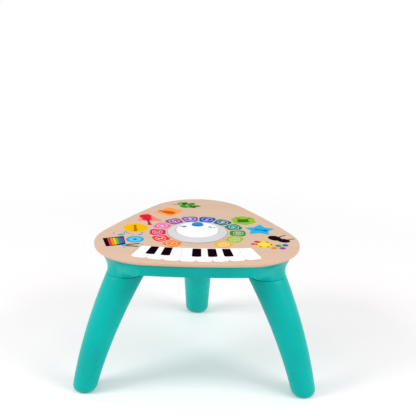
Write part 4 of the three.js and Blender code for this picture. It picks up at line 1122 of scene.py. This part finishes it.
def inked(layer, *shapes):
    """Gives flat shapes the thickness of their layer of ink and makes them one."""
    slabs = []
    for bm in shapes:
        bmesh.ops.recalc_face_normals(bm, faces=bm.faces)
        for face in bm.faces:
            if face.normal.z > 0:
                face.normal_flip()
        bmesh.ops.translate(bm, verts=bm.verts, vec=(0, 0, INK_FOOT))
        made = bmesh.ops.extrude_face_region(bm, geom=bm.faces[:])["geom"]
        rise = WOOD - INK_FOOT + layer * INK_STEP
        bmesh.ops.translate(bm, verts=[v for v in made if isinstance(v, bmesh.types.BMVert)], vec=(0, 0, rise))
        bmesh.ops.recalc_face_normals(bm, faces=bm.faces)
        slabs.append(bm)
    if len(slabs) == 1:
        return slabs[0]
    return carve(slabs[0], "UNION", *slabs[1:], overlapping=True)


def printed(name, colour, layer, *shapes, apart=False):
    """A print of one colour; `apart` says that its shapes don't overlap."""
    if apart:
        slab = joined(*[inked(layer, shape) for shape in shapes])
    else:
        slab = inked(layer, *shapes)
    return piece(name, slab, "table", ink(f"{name} ink", colour), "top_wood")


# The twelve pads around the drum, numbered from the front left round the back

PAD_FIRST = 232.7
PAD_PITCH = 25.8
PAD_INNER = 70.6
PAD_OUTER = 105.4
PAD_MIDDLE = 89
PAD_SIDE_GAP = 2
PAD_CORNERS = [8, 8, 12, 12]
PAD_CENTRE = Vector((0.9, 0, 0))
PAD_TURNS = (232.7, 206.9, 181.1, 153.9, 127.9, 102.2, 77, 51.6, 26, 0.2, -25.4, -51.1)
NUMBER_HEIGHT = 12.5
NUMBER_RING = 11.2
NUMBER_LINE = 1.0
PAD_COLOURS = [
    ("orange", (252, 130, 20)), ("red", (243, 60, 63)), ("crimson", (225, 36, 99)),
    ("pink", (232, 116, 176)), ("purple", (150, 80, 150)), ("violet", (125, 100, 180)),
    ("blue", (10, 85, 190)), ("petrol", (4, 110, 135)), ("sea_green", (0, 140, 120)),
    ("green", (60, 148, 40)), ("lime", (165, 190, 50)), ("yellow", (238, 184, 24)),
]


def pad(degrees):
    halves = [PAD_MIDDLE * (math.radians(PAD_PITCH / 2) - math.asin(PAD_SIDE_GAP / r))
              for r in (PAD_INNER, PAD_OUTER)]
    inner, outer = halves
    bm = flat([(-inner, PAD_INNER), (inner, PAD_INNER), (outer, PAD_OUTER), (-outer, PAD_OUTER)],
              PAD_CORNERS, 8)
    sliced(bm, 3)
    for vert in bm.verts:
        turn = vert.co.x / PAD_MIDDLE
        vert.co = (-vert.co.y * math.sin(turn), vert.co.y * math.cos(turn), 0)
    return moved(bm, Matrix.Translation(PAD_CENTRE) @ turned_to(degrees - 90))


def number(value, degrees):
    """A number whose top points to the drum."""
    curve = bpy.data.curves.new(f"number {value}", "FONT")
    curve.body = str(value)
    curve.size = NUMBER_HEIGHT / 0.7
    curve.align_x = "CENTER"
    curve.align_y = "CENTER"
    curve.resolution_u = 5
    item = bpy.data.objects.new(f"number {value}", curve)
    bpy.context.scene.collection.objects.link(item)
    graph = bpy.context.evaluated_depsgraph_get()
    mesh = bpy.data.meshes.new_from_object(item.evaluated_get(graph))
    bpy.data.objects.remove(item)
    bm = bmesh.new()
    bm.from_mesh(mesh)
    bmesh.ops.remove_doubles(bm, verts=bm.verts, dist=0.001)
    middle = [(min(v.co[axis] for v in bm.verts) + max(v.co[axis] for v in bm.verts)) / 2 for axis in (0, 1)]
    bmesh.ops.translate(bm, verts=bm.verts, vec=(-middle[0], -middle[1], 0))
    return moved(bm, Matrix.Translation(PAD_CENTRE + polar(PAD_MIDDLE, degrees)) @ turned_to(degrees + 90))


numbers = []
for index, (colour_name, colour) in enumerate(PAD_COLOURS):
    degrees = PAD_TURNS[index]
    printed(f"pad_{index + 1}_{colour_name}", colour, 1, pad(degrees))
    numbers.append(number(index + 1, degrees))
printed("pad_numbers", (250, 244, 242), 2, *numbers, apart=True)


def ring_line(degrees):
    """A thin ring around a pad's number, slightly wider than deep."""
    bm = bmesh.new()
    outer = NUMBER_RING
    bmesh.ops.create_circle(bm, cap_ends=True, segments=56, radius=outer)
    bmesh.ops.inset_region(bm, faces=bm.faces[:], thickness=NUMBER_LINE, use_boundary=True)
    middle = min(bm.faces, key=lambda face: face.calc_center_median().length + (len(face.verts) == 4))
    bmesh.ops.delete(bm, geom=[middle], context="FACES_ONLY")
    place = Matrix.Translation(PAD_CENTRE + polar(PAD_MIDDLE, degrees)) @ turned_to(degrees + 90)
    return moved(bm, place @ Matrix.Diagonal((1.12, 1, 1, 1)))


rings = [ring_line(degrees) for degrees in PAD_TURNS]
printed("pad_rings", (250, 244, 242), 2, *rings, apart=True)


# The keyboard: a fan of keys about a point behind the table

FAN_Y = 430
FAN_MIDDLE = 560
FAN_HALF = 13.1
KEY_COUNT = 8
KEY_GAP = 0.9
KEY_TOP = (524, 528.5)
KEY_END = (599, 591)
FAN_SPREAD = (0.962, 1.018)
# Step from the middle and how far the key reaches towards the drum
BLACK_KEYS = ((-2.98, 524), (-1.98, 524.8), (0.02, 526.5), (1.05, 526.5), (2.08, 526.8))
BLACK_WIDTH = 19.4
BLACK_END = 572


def fanned(bm):
    """Bends a shape drawn as (arc length, -radius) into the fan."""
    sliced(bm, 5)
    for vert in bm.verts:
        turn = vert.co.x / FAN_MIDDLE
        share = (math.degrees(turn) / FAN_HALF) ** 2
        along = (-vert.co.y - KEY_TOP[0]) / (KEY_END[0] - KEY_TOP[0])
        turn *= 1 + (lerp(*FAN_SPREAD, along) - 1) * math.sqrt(share)
        reach = lerp(lerp(*KEY_TOP, share), lerp(*KEY_END, share), along)
        vert.co = (reach * math.sin(turn), FAN_Y - reach * math.cos(turn), 0)
    return bm


def key(turn, width, high, low, corners, bulge=0.0):
    middle = math.radians(turn) * FAN_MIDDLE
    half = width / 2
    outline = [(-half, -low), (half, -low), (half, -high), (-half, -high)]
    bm = sliced(flat(outline, [corners[0], corners[0], corners[1], corners[1]], 8), 5)
    for vert in bm.verts:
        near_end = clamp((-vert.co.y - high) / (low - high)) ** 4
        vert.co.y -= bulge * near_end * (1 - (vert.co.x / half) ** 2)
        vert.co.x += middle
    return fanned(bm)


key_pitch = 2 * FAN_HALF / KEY_COUNT
key_width = math.radians(key_pitch) * FAN_MIDDLE - KEY_GAP
white_keys = [
    key((index - (KEY_COUNT - 1) / 2) * key_pitch, key_width, KEY_TOP[0], KEY_END[0] - 1.5, (7.5, 1.6), 1.5)
    for index in range(KEY_COUNT)
]
printed("white_keys", (252, 252, 253), 1, *white_keys, apart=True)
black_keys = [
    key(step * key_pitch, BLACK_WIDTH, top, BLACK_END, (4.5, 1.2)) for step, top in BLACK_KEYS
]
printed("black_keys", (21, 3, 16), 2, *black_keys, apart=True)


# Five plain shapes with a small instrument on each

def star(reach, inner, x, y, turn=0.0):
    corners = []
    for index in range(10):
        degrees = turn + 36 * index
        point = polar(inner if index % 2 else reach, degrees)
        corners.append((x + point.x, y + point.y))
    return flat(corners, 1.6, 4)


def ring_of(count, reach, x, y, turn=0.0):
    return [(x + polar(reach, turn + 360 / count * i).x, y + polar(reach, turn + 360 / count * i).y)
            for i in range(count)]


printed("circle_shape", (247, 187, 4), 1, disc(27.4, -137.4, 22, 72))
printed(
    "circle_flute", (178, 112, 24), 2, bar(38, 5.4, -138, 22, 98), disc(4.6, -136, 4.5, 28),
    bar(13, 3, -137.5, 15, 8), bar(9, 3, -139.5, 33, 8),
)
printed("triangle_shape", (244, 140, 126), 1, flat([(-138, 70), (-79, 69), (-118, 123)], 3, 6))
printed("triangle_guitar", (236, 34, 52), 2, disc(14, -121, 100, 36), disc(11.5, -116, 83, 32))
printed(
    "triangle_guitar_neck", (196, 26, 66), 3, disc(3.6, -120.5, 96, 24), bar(40, 5.4, -112, 66, -77),
    bar(10, 9, -107.6, 47, -77, 1.6),
)
printed(
    "diamond_shape", (252, 162, 66), 1,
    flat([(-101.5, 131), (-62.5, 104.5), (-34.5, 144), (-69.5, 165.5)], 2.5, 6),
)
printed(
    "diamond_violin", (224, 92, 18), 2, disc(13, -66, 129, 36, 0.8, -28),
    disc(10, -75, 134, 32, 0.88, -28), bar(16, 5, -82, 138, -28), disc(3.6, -90, 142, 20),
)
printed("hexagon_shape", (150, 192, 50), 1, flat(ring_of(6, 30.5, 104, 84.5, 40), 3, 6))
printed(
    "hexagon_drum", (62, 116, 38), 2, bar(26, 14, 103, 80, 8, 2.4), disc(13, 102, 87.5, 36, 0.42, 8),
    bar(18, 2.6, 115, 97, 50), bar(18, 2.6, 91, 99, 128),
)
printed("star_shape", (48, 180, 226), 1, star(35.8, 20.4, 137.7, 25, 87))
printed("star_mallet", (0, 112, 184), 2, bar(26, 5.4, 138, 25, -16), disc(5.4, 150.5, 21.5, 24))


# Three places with a plain design each: a xylophone, a tambourine with beads, and a leaf sprig

RAINBOW = [(228, 60, 60), (242, 140, 40), (246, 200, 40), (120, 180, 60), (40, 130, 190), (120, 80, 160)]
CYAN = (44, 172, 214)
INK_BLACK = (26, 14, 24)


def note(x, y, size, turn=0.0):
    """A quaver as overlapping flat shapes."""
    shapes = [
        disc(size * 0.26, 0, 0, 28, 0.72, 20),
        bar(size * 0.8, size * 0.09, size * 0.21, size * 0.4, 90),
        flat([(size * 0.18, size * 0.8), (size * 0.2, size * 0.58), (size * 0.52, size * 0.36),
              (size * 0.46, size * 0.56)], size * 0.05, 4),
    ]
    return [moved(shape, Matrix.Translation((x, y, 0)) @ turned_to(turn)) for shape in shapes]


BOARD = [Vector(corner) for corner in ((-203, -47), (-190, -95), (-150, -80), (-159, -31))]


def on_board(across, along):
    back_left, front_left, front_right, back_right = BOARD
    return tuple(back_left.lerp(back_right, across).lerp(front_left.lerp(front_right, across), along))


printed("xylophone_board", INK_BLACK, 1, flat([tuple(corner) for corner in BOARD], 2.5, 4))
for index, colour in enumerate(RAINBOW):
    left, back, front = 0.2 + 0.13 * index, 0.05 + 0.02 * index, 0.96 - 0.03 * index
    outline = [on_board(left, back), on_board(left, front), on_board(left + 0.115, front),
               on_board(left + 0.115, back)]
    printed(f"xylophone_bar_{index + 1}", colour, 2, flat(outline, 1.2, 3))
HAND_DRUM = (-133, -49)
printed("hand_drum_rim", CYAN, 1, disc(19.5, *HAND_DRUM, 60))
printed("hand_drum_skin", (96, 200, 232), 2, disc(13.5, *HAND_DRUM, 52))
printed("hand_drum_rings", (10, 120, 176), 3, disc(4.5, *HAND_DRUM, 32))
printed(
    "drum_sticks", INK_BLACK, 1, bar(32, 5, -136, -78, 14), bar(32, 5, -138, -89, -6), apart=True,
)
printed("drum_stick_heads", CYAN, 2, disc(5, -152, -83, 28), disc(5, -154, -86, 28))
printed("left_note", CYAN, 1, *note(-166, -22, 28, -6))
printed("left_note_small", CYAN, 1, *note(-124, -19, 20, 12))
printed("left_dots", CYAN, 1, *[disc(r, x, y, 20) for r, x, y in (
    (3, -182, -14), (2.6, -148, -14), (2.4, -140, -22), (2.6, -116, -78), (2.4, -152, -98),
)], apart=True)

TAMBOURINE = (143, -64)
printed("tambourine_rim", (250, 204, 20), 1, disc(18.5, *TAMBOURINE, 56))
printed("tambourine_skin", (252, 220, 92), 2, disc(12.8, *TAMBOURINE, 48))
printed("tambourine_jingles", INK_BLACK, 2, *[
    bar(6.6, 3, TAMBOURINE[0] + polar(15.7, 60 * i).x, TAMBOURINE[1] + polar(15.7, 60 * i).y, 60 * i + 90)
    for i in range(6)
], apart=True)
printed("maraca_bowls", INK_BLACK, 1, disc(13, 168, -25, 44, 1.25, 40), disc(11, 187, -39, 40, 1.25, 64))
printed("maraca_handles", (70, 62, 66), 2, bar(24, 3.4, 184, -12, 40), bar(20, 3.4, 202, -30, 24), apart=True)
printed("right_note", (238, 196, 52), 1, *note(142, -33, 24, 10))
BEADS = [
    ("red", (240, 50, 74), 6, 128, -49), ("rose", (242, 64, 98), 5.6, 120, -63),
    ("bead_green", (60, 164, 60), 7, 173, -70), ("bead_blue", (30, 104, 200), 6.8, 188, -66),
    ("bead_purple", (146, 74, 190), 7, 181, -84), ("bead_orange", (248, 128, 34), 6.6, 163, -84),
]
for bead_name, colour, radius, x, y in BEADS:
    printed(f"dot_{bead_name}", colour, 1, disc(radius, x, y, 28))


def leaf(length, width, x, y, turn):
    """A pointed oval from its foot at (x, y)."""
    bm = disc(0.5, 0.5, 0, 40)
    for vert in bm.verts:
        along = clamp(vert.co.x)
        side = 1 if vert.co.y >= 0 else -1
        vert.co = (length * along, side * width / 2 * math.sin(math.pi * along) ** 0.8, 0)
    bmesh.ops.remove_doubles(bm, verts=bm.verts, dist=0.01)
    return moved(bm, Matrix.Translation((x, y, 0)) @ turned_to(turn))


printed("sprig_stem", (92, 128, 84), 1, bar(46, 2.4, -33, 184, -8), bar(11, 2.2, -59, 189, 22))
SPRIG = [
    ("light", (112, 182, 50), [(24, 16, -49, 187, 62), (22, 15, -30, 184, -66)]),
    ("middle", (52, 152, 44), [(24, 16, -42, 186, -56), (25, 17, -25, 183, 54), (20, 13, -14, 181, -6)]),
    ("deep", (34, 104, 44), [(23, 14, -36, 185, 76), (20, 14, -20, 182, -50)]),
]
for layer, (leaf_name, colour, leaves) in enumerate(SPRIG, 2):
    printed(f"sprig_leaves_{leaf_name}", colour, layer, *[leaf(*place) for place in leaves], apart=True)


# Small marks on the drum cap: a pointed teal shape with three grey bars on the left, three teal bars and a grey dot
# on the right

def gridded(bm, step):
    """Points across a flat shape, so that it follows a curved face."""
    for axis in (Vector((1, 0, 0)), Vector((0, 1, 0))):
        places = [vert.co.dot(axis) for vert in bm.verts]
        low, high = min(places), max(places)
        for index in range(1, math.ceil((high - low) / step)):
            bmesh.ops.bisect_plane(
                bm, geom=bm.verts[:] + bm.edges[:] + bm.faces[:], plane_co=axis * (low + index * step), plane_no=axis,
            )
    return bm


def on_cap(name, colour, *shapes):
    """Flat marks laid on the cap's crown."""
    whole = gridded(joined(*shapes), 2)
    for vert in whole.verts:
        vert.co.z = crown(math.hypot(vert.co.x, vert.co.y)) - 0.05
    made = bmesh.ops.extrude_face_region(whole, geom=whole.faces[:])["geom"]
    bmesh.ops.translate(
        whole, verts=[v for v in made if isinstance(v, bmesh.types.BMVert)], vec=(0, 0, 0.05 + INK_STEP),
    )
    bmesh.ops.recalc_face_normals(whole, faces=whole.faces)
    return piece(name, whole, "table", ink(f"{name} ink", colour), "drum_cap_plastic")


on_cap("cap_mark_teal_left", (30, 150, 166), flat([(-32.6, 6), (-27.5, 5), (-23, 11), (-27.5, 17), (-32.6, 16)], 1))
on_cap("cap_mark_grey_left", (128, 120, 128), *[
    bar(h, 1.8, x, 16, 90) for x, h in ((-38, 5), (-35.7, 8), (-33.4, 6))
])
on_cap("cap_mark_teal_right", (40, 186, 206), *[
    bar(h, 2.4, x, 10.7, 90) for x, h in ((25.2, 8), (27.9, 12), (30.6, 9))
])
on_cap("cap_mark_grey_right", (128, 120, 128), disc(3, 36.7, 9.8, 24))


# Battery cells: a printed sleeve around a steel can

CELL_SLEEVE = 0.9


def battery_cell(name, facing):
    low, high = box_mm(name)
    radius = (high.z - low.z) / 2
    length = high.x - low.x
    tip, nub = 1.4, 2.7
    can = [
        (0, 0.15), (nub + 1.5, 0.15), (nub + 2.1, 0.5), (radius - 1.2, 0.5), (radius - 0.9, 0),
        *rounded((radius - 0.9, 0.6), 0.55, -80, 0, 4), (radius - 0.3, 1.2), (radius - 0.3, length - tip - 1),
        *rounded((radius - 1.1, length - tip - 0.7), 0.7, 0, 90, 4), (nub + 0.9, length - tip),
        (nub, length - tip + 0.4), *rounded((nub - 0.4, length - 0.4), 0.4, 0, 90, 3), (0, length),
    ]
    sleeve = [
        (radius - 0.3, CELL_SLEEVE), *rounded((radius - 0.3, CELL_SLEEVE + 0.3), 0.3, -60, 0, 3),
        *rounded((radius - 0.5, length - tip - 0.7), 0.5, 0, 80, 4), (radius - 1.4, length - tip - 0.1),
        (radius - 1.4, length - tip - 0.9), (radius - 0.3, length - tip - 1.2),
    ]
    place = Matrix.Translation((low.x if facing > 0 else high.x, (low.y + high.y) / 2 - AXIS_Y, (low.z + high.z) / 2))
    turn = Matrix.Rotation(math.radians(90 * facing), 4, "Y")
    finishes = (("can", can, steel, "plated_steel"), ("sleeve", closed(sleeve), cell_film(facing), "cell_shell"))
    for part, profile, finish, slot in finishes:
        piece(f"{name}_{part}", moved(spun(profile, 56), place @ turn), "table", finish, slot, [name])


for number_of_cell, facing in ((1, 1), (2, -1), (3, 1)):
    battery_cell(f"battery_cell_{number_of_cell}", facing)


# The frame's own nodes that show as they are, with their finishes

CARRIED_OVER = {
    "touch_sensor_sheet": sensor_film, "drum_board": circuit_board,
    "main_board": circuit_board, "main_chip": chip_black, "speaker_frame": steel,
    "speaker_cone": speaker_paper, "speaker_magnet": magnet, "power_switch_body": steel,
    "contact_minus": spring_steel, "contact_bridge_left": spring_steel, "contact_bridge_right": spring_steel,
    "contact_plus": spring_steel, "battery_lead_red": lead_red, "battery_lead_black": lead_black,
    "speaker_lead_red": lead_red, "speaker_lead_black": lead_black, "drum_cable": cable_white,
    "sensor_cable": film_cable,
    **{f"drum_lamp_{n}": lamp_lens for n in range(1, 7)},
    **{f"board_screw_{n}": steel for n in (1, 2)},
    **{f"speaker_screw_{n}": steel for n in (1, 2)},
}
for node, finish in CARRIED_OVER.items():
    for material_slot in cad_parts[node].material_slots:
        material_slot.material = finish


# The camera stands where the photograph's did; its lens and shift give the photograph's frame

PHOTO_SIZE = 416
FOCAL_PIXELS = 879.94
CENTRE_PIXELS = (-11.50, 70.91)
CAMERA_PLACE = Vector((17.40, -1812.66, 994.37))
CAMERA_TURN = math.radians(-0.55)
CAMERA_DROP = math.radians(23.45)
CAMERA_ROLL = math.radians(1.026)


def camera():
    data = bpy.data.cameras.new("camera")
    data.sensor_width = 36
    data.lens = FOCAL_PIXELS / PHOTO_SIZE * data.sensor_width
    data.shift_x = -CENTRE_PIXELS[0] / PHOTO_SIZE
    data.shift_y = CENTRE_PIXELS[1] / PHOTO_SIZE
    ahead = Vector((
        math.sin(CAMERA_TURN) * math.cos(CAMERA_DROP),
        math.cos(CAMERA_TURN) * math.cos(CAMERA_DROP),
        -math.sin(CAMERA_DROP),
    ))
    right = Vector((math.cos(CAMERA_TURN), -math.sin(CAMERA_TURN), 0))
    up = right.cross(ahead)
    right, up = (
        right * math.cos(CAMERA_ROLL) + up * math.sin(CAMERA_ROLL),
        up * math.cos(CAMERA_ROLL) - right * math.sin(CAMERA_ROLL),
    )
    turn = Matrix((right, up, -ahead)).transposed().to_4x4()
    item = bpy.data.objects.new("camera", data)
    item.matrix_world = Matrix.Translation(TO_FRAME @ CAMERA_PLACE) @ turn
    bpy.context.scene.collection.objects.link(item)
    bpy.context.scene.camera = item


def studio():
    """A pale floor, a white background that only rays to it see, and soft lamps."""
    scene = bpy.context.scene
    world = scene.world or bpy.data.worlds.new("studio")
    scene.world = world
    world.use_nodes = True
    tree = world.node_tree
    tree.nodes.clear()
    out = tree.nodes.new("ShaderNodeOutputWorld")
    rays = tree.nodes.new("ShaderNodeLightPath")
    seen = tree.nodes.new("ShaderNodeMath")
    seen.operation = "MAXIMUM"
    seen_two = tree.nodes.new("ShaderNodeMath")
    seen_two.operation = "MAXIMUM"
    mix = tree.nodes.new("ShaderNodeMixShader")
    fill = tree.nodes.new("ShaderNodeBackground")
    white = tree.nodes.new("ShaderNodeBackground")
    fill.inputs["Color"].default_value = (1, 1, 1, 1)
    fill.inputs["Strength"].default_value = 0.62
    white.inputs["Color"].default_value = (1, 1, 1, 1)
    white.inputs["Strength"].default_value = 1.0
    tree.links.new(rays.outputs["Is Camera Ray"], seen.inputs[0])
    tree.links.new(rays.outputs["Is Glossy Ray"], seen.inputs[1])
    tree.links.new(seen.outputs[0], seen_two.inputs[0])
    tree.links.new(rays.outputs["Is Transmission Ray"], seen_two.inputs[1])
    tree.links.new(seen_two.outputs[0], mix.inputs["Fac"])
    tree.links.new(fill.outputs[0], mix.inputs[1])
    tree.links.new(white.outputs[0], mix.inputs[2])
    tree.links.new(mix.outputs[0], out.inputs["Surface"])

    floor = bmesh.new()
    bmesh.ops.create_circle(floor, cap_ends=True, segments=96, radius=3.2)
    mesh = bpy.data.meshes.new("floor")
    floor.to_mesh(mesh)
    item = bpy.data.objects.new("floor", mesh)
    scene.collection.objects.link(item)
    made = Finish("pale floor", Specular_IOR_Level=0.2)
    tone = made.spread(made.noise(3), 0, 1)
    base = made.mix(tone, linear(250, 246, 247), linear(252, 249, 250))
    made.set(
        Base_Color=base, Roughness=made.spread(made.noise(40), 0.5, 0.65),
        Normal=made.bump(made.noise(500), 0.00002),
    )
    distance = made.node("ShaderNodeVectorMath", {"Vector": made.place}, operation="LENGTH")
    fade = made.spread(distance.outputs["Value"], 0, 1, 0.5, 1.3)
    under = made.node("ShaderNodeNewGeometry").outputs["Backfacing"]
    fade = made.node("ShaderNodeMath", {0: fade, 1: under}, operation="MAXIMUM").outputs[0]
    clear = made.node("ShaderNodeBsdfTransparent")
    rays = made.node("ShaderNodeLightPath")
    lift = made.node("ShaderNodeMath", {0: rays.outputs["Is Camera Ray"]}, operation="MULTIPLY")
    lift.inputs[1].default_value = 0.06
    glow = made.node("ShaderNodeEmission", {"Strength": lift.outputs[0]})
    lifted = made.node("ShaderNodeAddShader", {0: made.shader.outputs[0], 1: glow.outputs[0]})
    blend = made.node("ShaderNodeMixShader")
    made.tree.links.new(fade, blend.inputs["Fac"])
    made.tree.links.new(lifted.outputs[0], blend.inputs[1])
    made.tree.links.new(clear.outputs[0], blend.inputs[2])
    made.tree.links.new(blend.outputs[0], made.tree.nodes["Material Output"].inputs["Surface"])
    item.data.materials.append(made.material)

    def lamp(name, energy, size, place, aim=(0, -0.06, 0.2)):
        data = bpy.data.lights.new(name, "AREA")
        data.energy = energy
        data.size = size
        lit = bpy.data.objects.new(name, data)
        lit.location = place
        lit.rotation_mode = "QUATERNION"
        lit.rotation_quaternion = (Vector(aim) - Vector(place)).to_track_quat("-Z", "Y")
        scene.collection.objects.link(lit)

    lamp("key", 38, 1.2, (-2.2, -0.9, 1.75))
    lamp("side", 38, 1.6, (2.2, -1.1, 1.75))


camera()
studio()
scene_settings = bpy.context.scene.view_settings
scene_settings.view_transform = "Standard"
